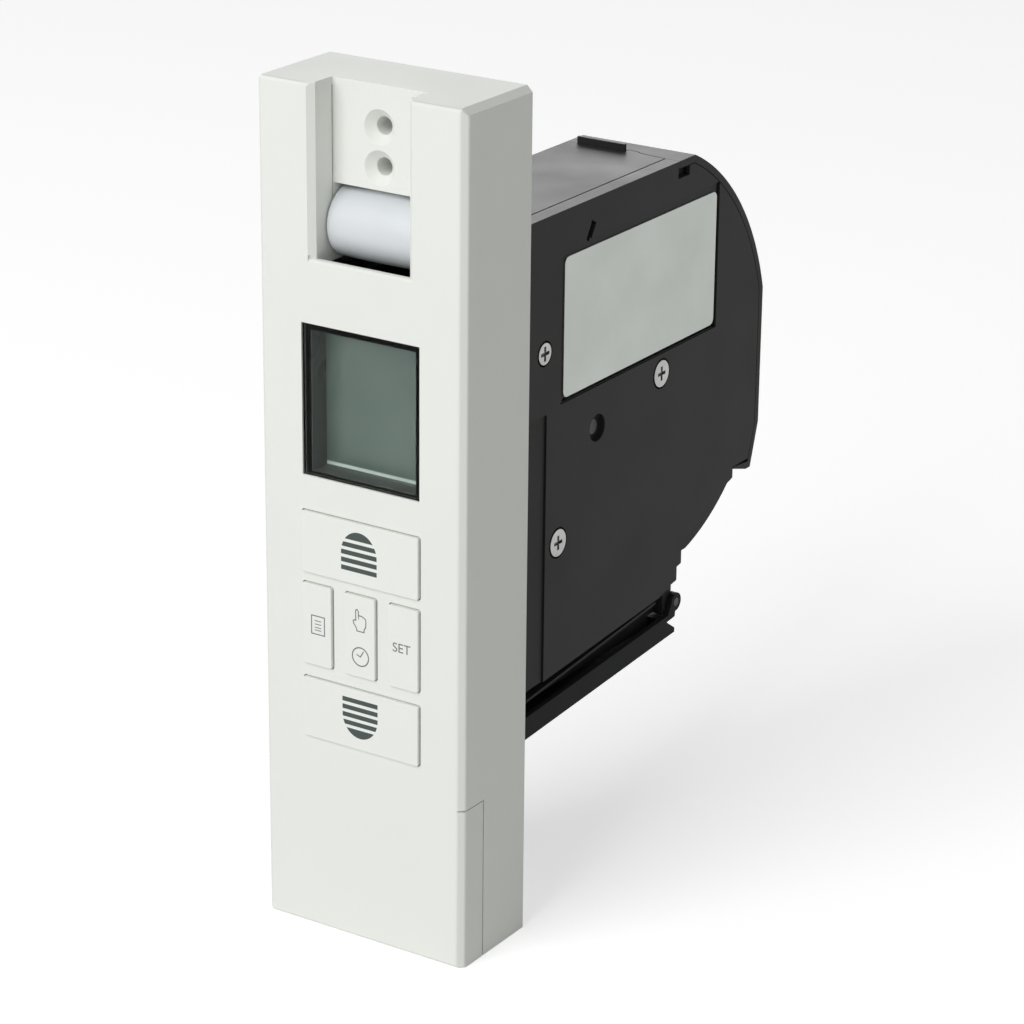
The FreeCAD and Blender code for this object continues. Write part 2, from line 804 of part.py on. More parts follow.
socket = socket.cut(block(-socketHalf, socketHalf, boardBack + connectorWall,
                          boardBack + connectorHeight + past,
                          connectorPlace - connectorWidth / 2 + connectorWall,
                          connectorPlace + connectorWidth / 2 - connectorWall))
save("board_connector", socket)
save("clock_reserve_cell", rodY(reserveSide, reservePlace, reserveRadius, boardBack,
                                boardBack + reserveHeight))


# Drive body outline: the side walls follow the reel and end under the rear guard
def guardPoint(inset):
    radius = guardArcRadius - inset
    top = bodyTop - inset
    rear = guardRearY - inset
    topY = guardArcY + math.sqrt(radius ** 2 - (top - guardArcZ) ** 2)
    rearZ = guardArcZ + math.sqrt(radius ** 2 - (rear - guardArcY) ** 2)
    turn = math.radians(guardMidAngle)
    middle = (guardArcY + radius * math.cos(turn), guardArcZ + radius * math.sin(turn))
    return topY, top, middle, rear, rearZ


def onBow(y, inset):
    return reelZ - math.sqrt((bowRadius - inset) ** 2 - (y - reelY) ** 2)


def line(x, a, b):
    return Part.LineSegment(V(x, a[0], a[1]), V(x, b[0], b[1])).toShape()


def arc(x, a, b, c):
    return Part.Arc(V(x, a[0], a[1]), V(x, b[0], b[1]), V(x, c[0], c[1])).toShape()


toeTop = guardFootZ + guardToeRise
toeInner = guardFootY - guardToeLength


def sideBottomAt(y):
    return sideLowest + (y - coverDepth) * math.tan(math.radians(sideSlope))


def sideOutline(x, lower):
    inset = guardWall + guardGap
    topY, top, middle, rear, rearZ = guardPoint(inset)
    bowBackY = toeInner - guardGap * 2
    bowFrontY = stepTwoY + guardWall
    bowMidY = (guardLugY + bowFrontY) / 2
    kneeBack = guardFootY - inset + (toeTop - guardFootZ) * (guardRearY - guardFootY) \
        / (guardKneeZ - guardFootZ)
    edges = [line(x, lower[1], (coverDepth, bodyTop))]
    edges.append(line(x, (coverDepth, bodyTop), (guardFrontY, bodyTop)))
    edges.append(line(x, (guardFrontY, bodyTop), (guardFrontY, top)))
    edges.append(line(x, (guardFrontY, top), (topY, top)))
    edges.append(arc(x, (topY, top), middle, (rear, rearZ)))
    edges.append(line(x, (rear, rearZ), (rear, guardKneeZ)))
    edges.append(line(x, (rear, guardKneeZ), (kneeBack, toeTop + guardGap)))
    edges.append(line(x, (kneeBack, toeTop + guardGap), (bowBackY, toeTop + guardGap)))
    edges.append(line(x, (bowBackY, toeTop + guardGap), (bowBackY, guardLugZ)))
    edges.append(line(x, (bowBackY, guardLugZ), (guardLugY, onBow(guardLugY, 0))))
    edges.append(arc(x, (guardLugY, onBow(guardLugY, 0)), (bowMidY, onBow(bowMidY, 0)),
                     (bowFrontY, onBow(bowFrontY, 0))))
    edges.append(line(x, (bowFrontY, onBow(bowFrontY, 0)), (stepTwoY, onBow(bowFrontY, 0))))
    edges.append(line(x, (stepTwoY, onBow(bowFrontY, 0)), (stepTwoY, stepTwoZ)))
    edges.append(line(x, (stepTwoY, stepTwoZ), (stepOneY, stepTwoZ - guardGap * 2)))
    edges.append(line(x, (stepOneY, stepTwoZ - guardGap * 2), (stepOneY, stepOneZ)))
    edges.append(line(x, (stepOneY, stepOneZ), (heelY, stepOneZ - guardGap * 2)))
    edges.append(line(x, (heelY, stepOneZ - guardGap * 2), lower[0]))
    edges.append(line(x, lower[0], lower[1]))
    return edges


def seamTongue(grow):
    kink = guardLipRight + seamKinkPlace
    low, front = guardFrontY - past * (1 - bool(grow)), guardFrontY + grow
    return [(guardLipRight + guardGap - grow, low),
            (guardLipRight + guardGap - grow, front + seamDepth),
            (kink, front + seamDepth * seamKinkHigh),
            (kink + seamKinkWidth, front + seamDepth * seamKinkLow),
            (shellRight - guardGap, front), (shellRight - guardGap, low)]


farY = guardRearY + past
farZ = bodyTop + past

# Left shell of the drive body
flatBottom = [(heelY, bodyBottom), (coverDepth, bodyBottom)]
shell = edgeX(sideOutline(-bodyLeft, flatBottom), -bodyLeft, shellRight)
shell = shell.cut(block(shellLeftInner, shellRight + past, coverDepth - past, heelY - bodyWall,
                        shellInnerBottom, bodyTop - bodyWall))
shell = shell.cut(block(shellLeftInner, shellRight + past, guardFrontY, farY, toeTop + guardGap,
                        farZ))
shell = shell.cut(block(shellLeftInner, shellRight + past, heelY - heelBack, farY,
                        toeTop + guardGap, bodyTop - bodyWall))
shell = shell.cut(rodX(reelY, reelZ, bowRadius - bodyWall, shellLeftInner, shellRight + past))
bossTop = shellRight
shellBosses = []
for y, z in ((screwOneY, screwOneZ), (screwThreeY, screwThreeZ)):
    shellBosses.append(rodX(y, z, sideBossRadius, -bodyLeft, bossTop))
for z in (bracketHigh, bracketLow):
    shellBosses.append(rodX(bracketPostY, z, bracketPostRadius, -bodyLeft, bracketLeft))
for x, z in bodySpots:
    side = -1 if x < 0 else 1
    wallX0, wallX1 = sorted((x, -bodyLeft + bodyWall / 2 if side < 0 else shellRight))
    shellBosses.append(rodY(x, z, earRadius - bodyWall / 2, coverDepth,
                            coverDepth + bodyBossLength))
    shellBosses.append(block(wallX0, wallX1, coverDepth, coverDepth + bodyBossLength,
                             z - bodyScrewRadius, z + bodyScrewRadius))
shellBosses.append(rodX(reelY, reelZ, hubRadius, -bodyLeft, shellLeftInner + shaftBossLength))
shellBosses.append(rodX(driveY, driveZ, bushRadius + bodyWall, -bodyLeft,
                        shellLeftInner + bushLength - bodyWall))
ledgeFront = coverDepth + runGap * 2
ledge = block(shellLeftInner - bodyWall / 2, ledgeReach, ledgeFront, ledgeRear, ledgeBottom,
              ledgeTop)
motorRib = block(shellLeftInner - bodyWall / 2, shellLeftInner + motorRibReach,
                 motorY + motorRadius - motorRibDepth, motorY + motorRadius,
                 motorTop - motorRibHeight, motorTop)
shell = shell.fuse(shellBosses + [ledge, motorRib])

# Webs that carry the right-hand plate bosses
lowWeb = block(shellRight - bodyWall, shellRight, coverDepth, coverDepth + bodyBossLength,
               shellInnerBottom - bodyWall / 2, bodyScrewLow + bodyBossLength)
highWeb = block(shellRight - bodyWall, shellRight, coverDepth, coverDepth + bodyBossLength,
                bodyScrewHigh - bodyBossLength, bodyTop - bodyWall / 2)
shell = shell.fuse([lowWeb, highWeb])

# Terminal chamber skirts and hinge lugs under the shell
skirts = []
lugSpots = ((shellLeftInner + skirtSet, shellLeftInner + skirtSet + skirtWall),
            (shellRight - skirtWall, shellRight))
for x0, x1 in lugSpots:
    wall = block(x0, x1, skirtFront, skirtBack, bodyBottom - skirtDrop, bodyBottom + bodyWall / 2)
    lug = prismX([(skirtBack - hingeBarrel, bodyBottom + bodyWall / 2),
                  (skirtBack - hingeBarrel, hingeZ - hingeBarrel),
                  (hingeY, hingeZ - hingeBarrel), (hingeY, hingeZ + hingeBarrel),
                  (heelY, bodyBottom + bodyWall)], x0, x1)
    skirts += [wall, lug, rodX(hingeY, hingeZ, hingeBarrel, x0, x1)]
rib = prismX([(skirtFront, bodyBottom - ribFrontDrop), (skirtBack, bodyBottom + ribBackRise),
              (skirtBack, bodyBottom + ribBackRise - ribThickness),
              (skirtFront, bodyBottom - ribFrontDrop - ribThickness)],
             shellRight - skirtWall / 2, shellRight + ribReach)
rimWeb = block(shellRight - bodyWall, shellRight, skirtFront, heelY - webBackGap, bodyBottom,
               bodyBottom + webRise)
earTop = hingeZ + earTopRise
ear = prismX([(heelY - heelBack, hingeZ), (earBackY, hingeZ), (earBackY, earTop),
              (heelY - heelBack, earTop)], shellRight - skirtWall, shellRight)
cheekFrontY = heelY - lugCheekReach
lugCheek = prismX([(cheekFrontY, hingeZ - hingeBarrel), (hingeY, hingeZ - hingeBarrel),
                   (hingeY, hingeZ + hingeBarrel), (heelY, stepOneZ - guardGap * 2 - lugTopGap),
                   (cheekFrontY, sideBottomAt(cheekFrontY) - lugTopGap)],
                  shellRight - skirtWall / 2, bodyRight - flapWall - guardGap)
lugCheek = lugCheek.fuse(rodX(hingeY, hingeZ, hingeBarrel, shellRight - skirtWall / 2,
                              bodyRight - flapWall - guardGap))
shell = shell.fuse(skirts + [rib, rimWeb, ear, lugCheek])
shell = shell.cut(rodX(hingeY, hingeZ, hingePinRadius + runGap, -bodyLeft, bodyRight))
for y, z in ((screwOneY, screwOneZ), (screwThreeY, screwThreeZ)):
    shell = shell.cut(rodX(y, z, sideScrewRadius, bossTop - sideScrewLength, bossTop + past))
for z in (bracketHigh, bracketLow):
    shell = shell.cut(rodX(bracketPostY, z, driveScrewRadius,
                           bracketLeft - sideScrewLength, bracketLeft + past))
for x, z in bodySpots:
    shell = shell.cut(rodY(x, z, bodyScrewRadius, coverDepth - past,
                           coverDepth + bodyScrewLength))
shell = shell.cut(rodX(reelY, reelZ, reelShaftRadius, shellLeftInner,
                       shellLeftInner + shaftBossLength + past))
shell = shell.cut(rodX(driveY, driveZ, bushRadius, shellLeftInner - bodyWall / 2,
                       shellLeftInner + bushLength))
shell = shell.cut(rodZ(0, motorY, smallBushRadius, ledgeBottom - past, ledgeTop + past))
terminalBack = terminalFront + terminalLength
shell = shell.cut(block(-terminalHalf - terminalGap, terminalHalf + terminalGap,
                        terminalFront - terminalGap, terminalBack + terminalGap,
                        bodyBottom - past, shellInnerBottom + past))
powerPosts = [rodZ(s * (powerHalf - powerPostInset), y, powerPostRadius,
                   bodyBottom + bodyWall / 2, powerBottom)
              for s in (-1, 1) for y in (powerFront + powerPostInset, powerBack - powerPostInset)]
clampFeet = [block(s * clampHalf - clampPost / 2, s * clampHalf + clampPost / 2, clampFront,
                   clampFront + clampLength, bodyBottom - clampSpace, bodyBottom + bodyWall / 2)
             for s in (-1, 1)]
tongue = prismZ(seamTongue(0), bodyTop - bodyWall, bodyTop)
shell = shell.fuse(powerPosts + clampFeet + [tongue])
save("housing_shell", shell.removeSplitter())

# Body screws from the mounting plate into the shell
bodyScrews = []
for x, z in bodySpots:
    shank = rodY(x, z, bodyScrewRadius, plateFront, coverDepth + bodyScrewLength)
    head = rodY(x, z, bodyScrewHeadRadius, plateFront - bodyScrewHead, plateFront)
    slot = block(x - bodyScrewHeadRadius, x + bodyScrewHeadRadius,
                 plateFront - bodyScrewHead - past, plateFront - bodyScrewHead + crossDepth,
                 z - crossWidth / 2, z + crossWidth / 2)
    bodyScrews.append(shank.fuse(head).cut(slot))
save("body_screws", Part.makeCompound(bodyScrews))

# Right side cover with its label pocket, clip slot and service hole
slantBottom = [(sideCornerY, sideBottomAt(sideCornerY)), (coverDepth, sideLowest)]
side = edgeX(sideOutline(shellRight, slantBottom), shellRight, bodyRight)
side = side.cut(block(shellRight - past, bodyRight + past, coverDepth - past, motorCoverY + seamGap,
                      sideLowest - past, motorCoverTop + seamGap))
hollowFront, hollowRear = coverDepth + bodyWall, heelY - bodyWall
sideHollow = [(hollowFront, sideBottomAt(hollowFront) + bodyWall),
              (sideCornerY, sideBottomAt(sideCornerY) + bodyWall), (hollowRear, stepOneZ + bodyWall / 2),
              (hollowRear, bodyTop - bodyWall), (hollowFront, bodyTop - bodyWall)]
side = side.cut(prismX(sideHollow, shellRight - past, sideInner))
side = side.cut(block(shellRight - past, sideInner, guardFrontY, farY, toeTop + guardGap, farZ))
side = side.cut(block(shellRight - past, sideInner, heelY - heelBack, farY,
                      toeTop + guardGap, bodyTop - bodyWall))
side = side.cut(rodX(reelY, reelZ, bowRadius - bodyWall, shellRight - past, sideInner))
for y, z in ((screwOneY, screwOneZ), (screwThreeY, screwThreeZ)):
    side = side.fuse(rodX(y, z, sideBossRadius, shellRight, bodyRight - labelPocketDepth))
sideHeadSeat = bodyRight + sideScrewSet - sideScrewHeadThickness
sideSpots = ((screwOneY, screwOneZ, frontScrewHeadRadius), (reelY, reelZ, sideScrewHeadRadius),
             (screwThreeY, screwThreeZ, sideScrewHeadRadius))
for y, z, headRadius in sideSpots:
    side = side.cut(rodX(y, z, sideScrewRadius, shellRight - past, bodyRight + past))
    side = side.cut(rodX(y, z, headRadius + sideScrewHeadGap, sideHeadSeat, bodyRight + past))
side = side.fuse(rodX(middleY, middleZ, serviceHoleRadius + bodyWall / 2,
                      gearLayerTwo + wheelThickness + layerGap, sideInner + sideWall / 2))
side = side.cut(rodX(middleY, middleZ, serviceHoleRadius, bodyRight - serviceHoleDepth,
                     bodyRight + past))
side = side.cut(rodX(middleY, middleZ, middleAxleRadius, shellRight - past, bodyRight + past))
pocket = block(bodyRight - labelPocketDepth, bodyRight + past, labelPocketFront, labelPocketBack,
               labelPocketLow, labelPocketHigh)
side = side.cut(pocket)
grooveFloor = bodyRight - labelPocketDepth - labelGrooveDepth
rearGroove = block(grooveFloor, bodyRight + past, labelPocketBack - labelGrooveWidth,
                   labelPocketBack, labelPocketLow, labelPocketHigh + labelGrooveReach)
lowGroove = block(grooveFloor, bodyRight + past, labelFront, labelPocketBack,
                  labelLow - labelGrooveWidth, labelLow - runGap)
side = side.cut(rearGroove).cut(lowGroove)
side = side.cut(block(sideInner - past, bodyRight + past, clipSlotY - clipSlotLength / 2,
                      clipSlotY + clipSlotLength / 2, clipSlotZ - clipSlotHeight / 2,
                      clipSlotZ + clipSlotHeight / 2))
slit = block(sideInner - past, bodyRight + past, -slitLength / 2, slitLength / 2,
             -slitWidth / 2, slitWidth / 2)
slit.rotate(V(0, 0, 0), V(1, 0, 0), slitAngle)
slit.translate(V(0, slitY, slitZ))
side = side.cut(slit)
side = side.cut(block(shellRight - past, shellRight + seamGrooveWidth, coverDepth - past,
                      guardFrontY + past, bodyTop - seamGrooveDepth, bodyTop + past))
save("side_cover", side.removeSplitter())

# Rating plate, left without print
rating = block(bodyRight - labelPocketDepth, bodyRight - labelPocketDepth + labelThickness,
               labelFront, labelBack, labelLow, labelHigh)
labelEdges = [e for e in rating.Edges if abs(e.tangentAt(e.FirstParameter).x) > alongShare]
rating = rating.makeFillet(labelCorner, labelEdges)
save("rating_plate", rating)

# Motor cover strip beside the wall plane
coverOut = bodyRight - motorCoverStep
coverIn = coverOut - motorCoverWall
strip = prismX([(coverDepth, sideLowest), (motorCoverY, sideBottomAt(motorCoverY)),
                (motorCoverY, motorCoverTop), (coverDepth, motorCoverTop)], shellRight, coverOut)
strip = strip.cut(prismZ([(coverOut, motorCoverY), (coverOut - motorCoverTaper, coverDepth),
                          (coverOut + past, coverDepth), (coverOut + past, motorCoverY)],
                         sideLowest - past, motorCoverTop + past))
stripBack = motorCoverY + past
strip = strip.cut(prismX([(hollowFront, sideBottomAt(hollowFront) + bodyWall),
                          (stripBack, sideBottomAt(stripBack) + bodyWall),
                          (stripBack, motorCoverTop + past), (hollowFront, motorCoverTop + past)],
                         shellRight - past, coverIn))
save("motor_cover", strip)

# Screws of the side cover
sideScrews = []
for y, z, headRadius in sideSpots:
    head = rodX(y, z, headRadius, sideHeadSeat, sideHeadSeat + sideScrewHeadThickness)
    top = sideHeadSeat + sideScrewHeadThickness
    shank = rodX(y, z, sideScrewRadius, top - sideScrewLength, sideHeadSeat)
    one = block(top - crossDepth, top + past, y - crossLength / 2, y + crossLength / 2,
                z - crossWidth / 2, z + crossWidth / 2)
    two = block(top - crossDepth, top + past, y - crossWidth / 2, y + crossWidth / 2,
                z - crossLength / 2, z + crossLength / 2)
    sideScrews.append(head.fuse(shank).cut(one).cut(two))
save("side_screws", Part.makeCompound(sideScrews))


# Rear guard: a curved strip that clips over the back of the reel
def guardBand(x, inset):
    topY, top, middle, rear, rearZ = guardPoint(inset)
    slope = (guardRearY - guardFootY) / (guardKneeZ - guardFootZ)
    footZ = guardFootZ + (guardWall if inset else 0)
    footY = guardFootY - inset + (footZ - guardFootZ) * slope
    return [(guardFrontY, top), (topY, top), middle, (rear, rearZ), (rear, guardKneeZ),
            (footY, footZ)]


outerBand = guardBand(-bodyLeft, 0)
innerBand = guardBand(-bodyLeft, guardWall)
x0 = -bodyLeft
edges = [line(x0, outerBand[0], outerBand[1]),
         arc(x0, outerBand[1], outerBand[2], outerBand[3]),
         line(x0, outerBand[3], outerBand[4]), line(x0, outerBand[4], outerBand[5]),
         line(x0, outerBand[5], (guardFootY - guardToeHeel, guardFootZ)),
         line(x0, (guardFootY - guardToeHeel, guardFootZ), (toeInner, toeTop - guardToeTip)),
         line(x0, (toeInner, toeTop - guardToeTip), (toeInner, toeTop)),
         line(x0, (toeInner, toeTop), innerBand[5]), line(x0, innerBand[5], innerBand[4]),
         line(x0, innerBand[4], innerBand[3]),
         arc(x0, innerBand[3], innerBand[2], innerBand[1]),
         line(x0, innerBand[1], innerBand[0]), line(x0, innerBand[0], outerBand[0])]
guard = edgeX(edges, -bodyLeft, bodyRight)
guard = guard.fuse(block(-guardLipLeft, guardLipRight, guardFrontY,
                         guardFrontY + guardLipThickness, bodyTop - guardWall,
                         bodyTop + guardLipHeight))
for x in (shellLeftInner + guardGap, sideInner - guardGap - guardWall):
    guard = guard.fuse(block(x, x + guardWall, guardFrontY + guardWall,
                             guardFrontY + guardWall + clipSlotLength - clipTongueSet,
                             clipSlotZ - clipSlotHeight / 2, bodyTop - guardWall / 2))
guard = guard.cut(prismZ(seamTongue(guardGap), bodyTop - guardWall - past, bodyTop + past))
save("rear_guard", guard.removeSplitter())


# Gear outline from involute flanks
def gearPoints(module, teeth, backlash, phase):
    pitch = module * teeth / 2
    angle = math.radians(pressureAngle)
    base = pitch * math.cos(angle)
    tip = pitch + addendumShare * module
    root = pitch - dedendumShare * module
    half = (math.pi * module / 2 - backlash) / (2 * pitch)
    involute = math.tan(angle) - angle
    start = max(base, root + flankFoot)
    flank = []
    for step in range(flankSteps + 1):
        r = start + (tip - start) * step / flankSteps
        a = math.acos(min(1.0, base / r))
        flank.append((r, half + involute - (math.tan(a) - a)))
    flank = [(root, flank[0][1])] + flank
    points = []
    for tooth in range(teeth):
        centre = phase + 2 * math.pi * tooth / teeth
        for r, turn in flank:
            points.append((r, centre - turn))
        for r, turn in reversed(flank):
            points.append((r, centre + turn))
    return [(r * math.cos(t), r * math.sin(t)) for r, t in points]


def gearX(y, z, module, teeth, backlash, phase, x0, x1):
    points = [(y + a, z + b) for a, b in gearPoints(module, teeth, backlash, phase)]
    return prismX(points, x0, x1)


# Belt reel: drum, hub, web and left flange in one piece
reel = rodX(reelY, reelZ, drumRadius, -reelHalf, beltHalf)
reel = reel.cut(rodX(reelY, reelZ, drumRadius - drumWall, -reelHalf - past, beltHalf + past))
hub = rodX(reelY, reelZ, hubRadius, shellLeftInner + shaftBossLength + reelSideGap, beltHalf)
web = rodX(reelY, reelZ, drumRadius - drumWall / 2, -webThickness, webThickness)
leftFlange = rodX(reelY, reelZ, reelRadius, -reelHalf, -beltHalf)
leftFlange = leftFlange.cut(rodX(reelY, reelZ, hubRadius + flangeBoreGap, -reelHalf - past,
                                 -beltHalf + past))
reel = reel.fuse([hub, web, leftFlange])
for turn in range(reelHoles):
    a = math.radians(reelHoleStart + 360 / reelHoles * turn)
    mid = (drumRadius + reelRadius) / 2
    reel = reel.cut(rodX(reelY + mid * math.cos(a), reelZ + mid * math.sin(a),
                         (reelRadius - drumRadius) * reelHoleShare, -reelHalf - past, -beltHalf + past))
reel = reel.cut(rodX(reelY, reelZ, reelShaftRadius + runGap, -bodyLeft, bodyRight))
seatZ = reelZ + drumRadius - hookSeat
reel = reel.cut(block(-hookWidth / 2 - runGap, hookWidth / 2 + runGap, reelY - hookLength / 2,
                      reelY + hookLength / 2, seatZ, reelZ + drumRadius + past))
save("belt_reel", reel.removeSplitter())
rightFlange = rodX(reelY, reelZ, reelRadius, beltHalf, reelHalf)
save("reel_flange", rightFlange.cut(rodX(reelY, reelZ, reelShaftRadius + runGap, 0, bodyRight)))
hook = block(-hookWidth / 2, hookWidth / 2, reelY - hookLength / 2, reelY + hookLength / 2,
             seatZ, seatZ + hookThickness)
hook = hook.fuse(block(-hookWidth / 2, hookWidth / 2, reelY + hookLength / 2 - hookThickness,
                       reelY + hookLength / 2, seatZ, seatZ + hookThickness + hookLip))
save("belt_hook", hook.removeSplitter())
save("reel_shaft", rodX(reelY, reelZ, reelShaftRadius, shellLeftInner, sideInner)
     .cut(rodX(reelY, reelZ, sideScrewRadius,
               sideHeadSeat + sideScrewHeadThickness - sideScrewLength, sideInner + past)))

# Gear on the reel, and the two-step gear that drives it
reelGear = gearX(reelY, reelZ, reelGearModule, reelGearTeeth, gearBacklash, middleTurn,
                 gearLayerOne, gearLayerOne + reelGearThickness)
reelGear = reelGear.cut(rodX(reelY, reelZ, reelShaftRadius + runGap, 0, bodyRight))
save("reel_gear", reelGear)
spaceTurn = middleTurn + math.pi + math.pi / pinionTeeth
pinion = gearX(middleY, middleZ, reelGearModule, pinionTeeth, gearBacklash, spaceTurn,
               gearLayerOne + layerGap, gearLayerTwo)
driveTurn = math.atan2(driveZ - middleZ, driveY - middleY)
wheel = gearX(middleY, middleZ, wheelModule, wheelTeeth, gearBacklash, driveTurn,
              gearLayerTwo, gearLayerTwo + wheelThickness)
middle = wheel.fuse(pinion)
middle = middle.cut(rodX(middleY, middleZ, middleAxleRadius + runGap, 0, bodyRight))
save("middle_gear", middle.removeSplitter())
save("middle_axle", rodX(middleY, middleZ, middleAxleRadius, gearLayerOne + layerGap,
                         bodyRight - serviceHoleDepth + serviceAxleProud))

# Drive shaft with its pinion and worm wheel
shaftEnd = gearLayerTwo + wheelThickness
drivePhase = driveTurn + math.pi + math.pi / driveTeeth
drive = gearX(driveY, driveZ, wheelModule, driveTeeth, gearBacklash, drivePhase, gearLayerTwo,
              shaftEnd)
drive = drive.cut(rodX(driveY, driveZ, driveShaftRadius, 0, bodyRight))
save("drive_pinion", drive)
save("drive_shaft", rodX(driveY, driveZ, driveShaftRadius, shellLeftInner, shaftEnd))
wormWheel = gearX(driveY, driveZ, wheelModule, wormWheelTeeth, wormWheelBacklash,
                  math.pi + math.pi / wormWheelTeeth, -wormWheelWidth / 2, wormWheelWidth / 2)
wormWheel = wormWheel.fuse(rodX(driveY, driveZ, wormWheelHub, -wormWheelHubLength / 2,
                                wormWheelHubLength / 2))
wormWheel = wormWheel.cut(rodX(driveY, driveZ, driveShaftRadius, -bodyLeft, bodyRight))
save("worm_wheel", wormWheel.removeSplitter())

# Bearing bracket and the bushes
bracket = block(bracketLeft, bracketLeft + bracketThickness, driveY - bracketReach,
                bracketPostY + bracketMargin, bracketLow - bracketMargin,
                bracketHigh + bracketMargin)
bracket = bracket.cut(rodX(driveY, driveZ, bushRadius, 0, bodyRight))
driveScrews = []
for z in (bracketHigh, bracketLow):
    bracket = bracket.cut(rodX(bracketPostY, z, driveScrewRadius + runGap, 0, bodyRight))
    head = rodX(bracketPostY, z, driveScrewHeadRadius, bracketLeft + bracketThickness,
                bracketLeft + bracketThickness + driveScrewHead)
    shank = rodX(bracketPostY, z, driveScrewRadius, bracketLeft - sideScrewLength + bushFlange,
                 bracketLeft + bracketThickness)
    driveScrews.append(head.fuse(shank))
save("gear_bracket", bracket)
leftBush = rodX(driveY, driveZ, bushRadius, shellLeftInner - bodyWall / 2,
                shellLeftInner + bushLength - bodyWall)
leftBush = leftBush.cut(rodX(driveY, driveZ, driveShaftRadius + runGap, shellLeftInner,
                             bodyRight))
rightBush = rodX(driveY, driveZ, bushRadius, bracketLeft, bracketLeft + bracketThickness)
rightBush = rightBush.cut(rodX(driveY, driveZ, driveShaftRadius + runGap, 0, bodyRight))
topBush = rodZ(0, motorY, smallBushRadius, ledgeBottom, ledgeTop)
topBush = topBush.fuse(rodZ(0, motorY, smallBushRadius + bushFlange, ledgeTop,
                            ledgeTop + bushFlange))
topBush = topBush.cut(rodZ(0, motorY, motorShaftRadius + runGap, ledgeBottom - past,
                            ledgeTop + bushFlange + past))
save("shaft_bushes", Part.makeCompound([leftBush, rightBush, topBush.removeSplitter()]))

# Worm: a helical thread on a core, in mesh with the worm wheel
wormCore = wormRadius - dedendumShare * wheelModule + wormCoreRise
wormTip = wormRadius + addendumShare * wheelModule
slope = math.tan(math.radians(pressureAngle))
sink = wormCore - wormThreadSink
halfTip = wormThread / 2 - (wormTip - wormRadius) * slope
halfSink = wormThread / 2 + (wormRadius - sink) * slope
helix = Part.makeHelix(wormPitch, wormLength - wormPitch, wormRadius)
profile = Part.makePolygon([V(sink, 0, -halfSink), V(wormTip, 0, -halfTip),
                            V(wormTip, 0, halfTip), V(sink, 0, halfSink),
                            V(sink, 0, -halfSink)])
thread = Part.Wire(helix.Edges).makePipeShell([profile], True, True)
turns = round((driveZ - wormBottom) / wormPitch)
threadStart = driveZ - wormPitch / 4 - (turns - 1) * wormPitch
thread.translate(V(0, motorY, threadStart))
core = rodZ(0, motorY, wormCore, wormBottom, wormBottom + wormLength)
worm = core.fuse(thread).cut(rodZ(0, motorY, motorShaftRadius, wormBottom - past,
                                  wormBottom + wormLength + past))
save("worm", worm)

# Motor: can, end cap, magnets, armature, shaft, plate and screws
can = rodZ(0, motorY, motorRadius, capTop, motorTop)
can = can.cut(rodZ(0, motorY, motorRadius - motorWall, capTop - past, motorTop - motorWall))
can = can.cut(rodZ(0, motorY, motorShaftRadius + runGap, capTop, motorTop + past))
screwSpots = ((0, motorY - motorScrewPlace), (0, motorY + motorScrewPlace))
for x, y in screwSpots:
    can = can.cut(rodZ(x, y, driveScrewRadius, motorTop - motorWall - past, motorTop + past))
save("motor_can", can)
cap = rodZ(0, motorY, motorCapRadius, capTop - motorCapLength, capTop + motorWall)
cap = cap.cut(rodZ(0, motorY, motorShaftRadius + runGap, capTop - motorCapLength + motorWall,
                   capTop + motorWall + past))
save("motor_end_cap", cap)
magnetOut = motorRadius - motorWall
magnetIn = magnetOut - magnetThickness
magnetBottom = capTop + motorWall + (motorLength - 2 * motorWall - magnetLength) / 2
ringSolid = rodZ(0, motorY, magnetOut, magnetBottom, magnetBottom + magnetLength)
ringSolid = ringSolid.cut(rodZ(0, motorY, magnetIn, magnetBottom - past,
                               magnetBottom + magnetLength + past))
ringSolid = ringSolid.cut(block(-magnetSplit, magnetSplit, 0, motorY + motorRadius + past,
                                magnetBottom - past, magnetBottom + magnetLength + past))
save("motor_magnets", ringSolid)
armatureRadius = magnetIn - magnetGap
armatureBottom = magnetBottom + (magnetLength - armatureLength) / 2
armature = rodZ(0, motorY, armatureRadius, armatureBottom, armatureBottom + armatureLength)
for turn in range(armatureSlots):
    notch = block(-motorWall / 2, motorWall / 2, armatureRadius * armatureSlotShare,
                  armatureRadius + past,
                  armatureBottom - past, armatureBottom + armatureLength + past)
    notch.rotate(V(0, 0, 0), V(0, 0, 1), 360 / armatureSlots * turn)
    notch.translate(V(0, motorY, 0))
    armature = armature.cut(notch)
armature = armature.cut(rodZ(0, motorY, motorShaftRadius, armatureBottom - past,
                             armatureBottom + armatureLength + past))
save("motor_armature", armature)
shaftTop = ringBottom + ringHeight
save("motor_shaft", rodZ(0, motorY, motorShaftRadius, capTop - motorCapLength + motorWall,
                         shaftTop))
ring = rodZ(0, motorY, ringRadius, ringBottom, shaftTop)
ring = ring.cut(rodZ(0, motorY, motorShaftRadius, ringBottom - past, shaftTop + past))
save("position_magnet", ring)
save("sensor_board", block(ledgeReach - sensorWidth, ledgeReach, ledgeRear,
                           ledgeRear + sensorThickness, ledgeBottom, ledgeBottom + sensorHeight))
mountPlate = block(shellLeftInner, motorPlateWidth / 2, motorY - motorRadius + motorPlateSet,
                   motorY + motorRadius, motorTop, motorTop + motorPlate)
mountPlate = mountPlate.cut(rodZ(0, motorY, motorNeckRadius, motorTop - past,
                                 motorTop + motorPlate + past))
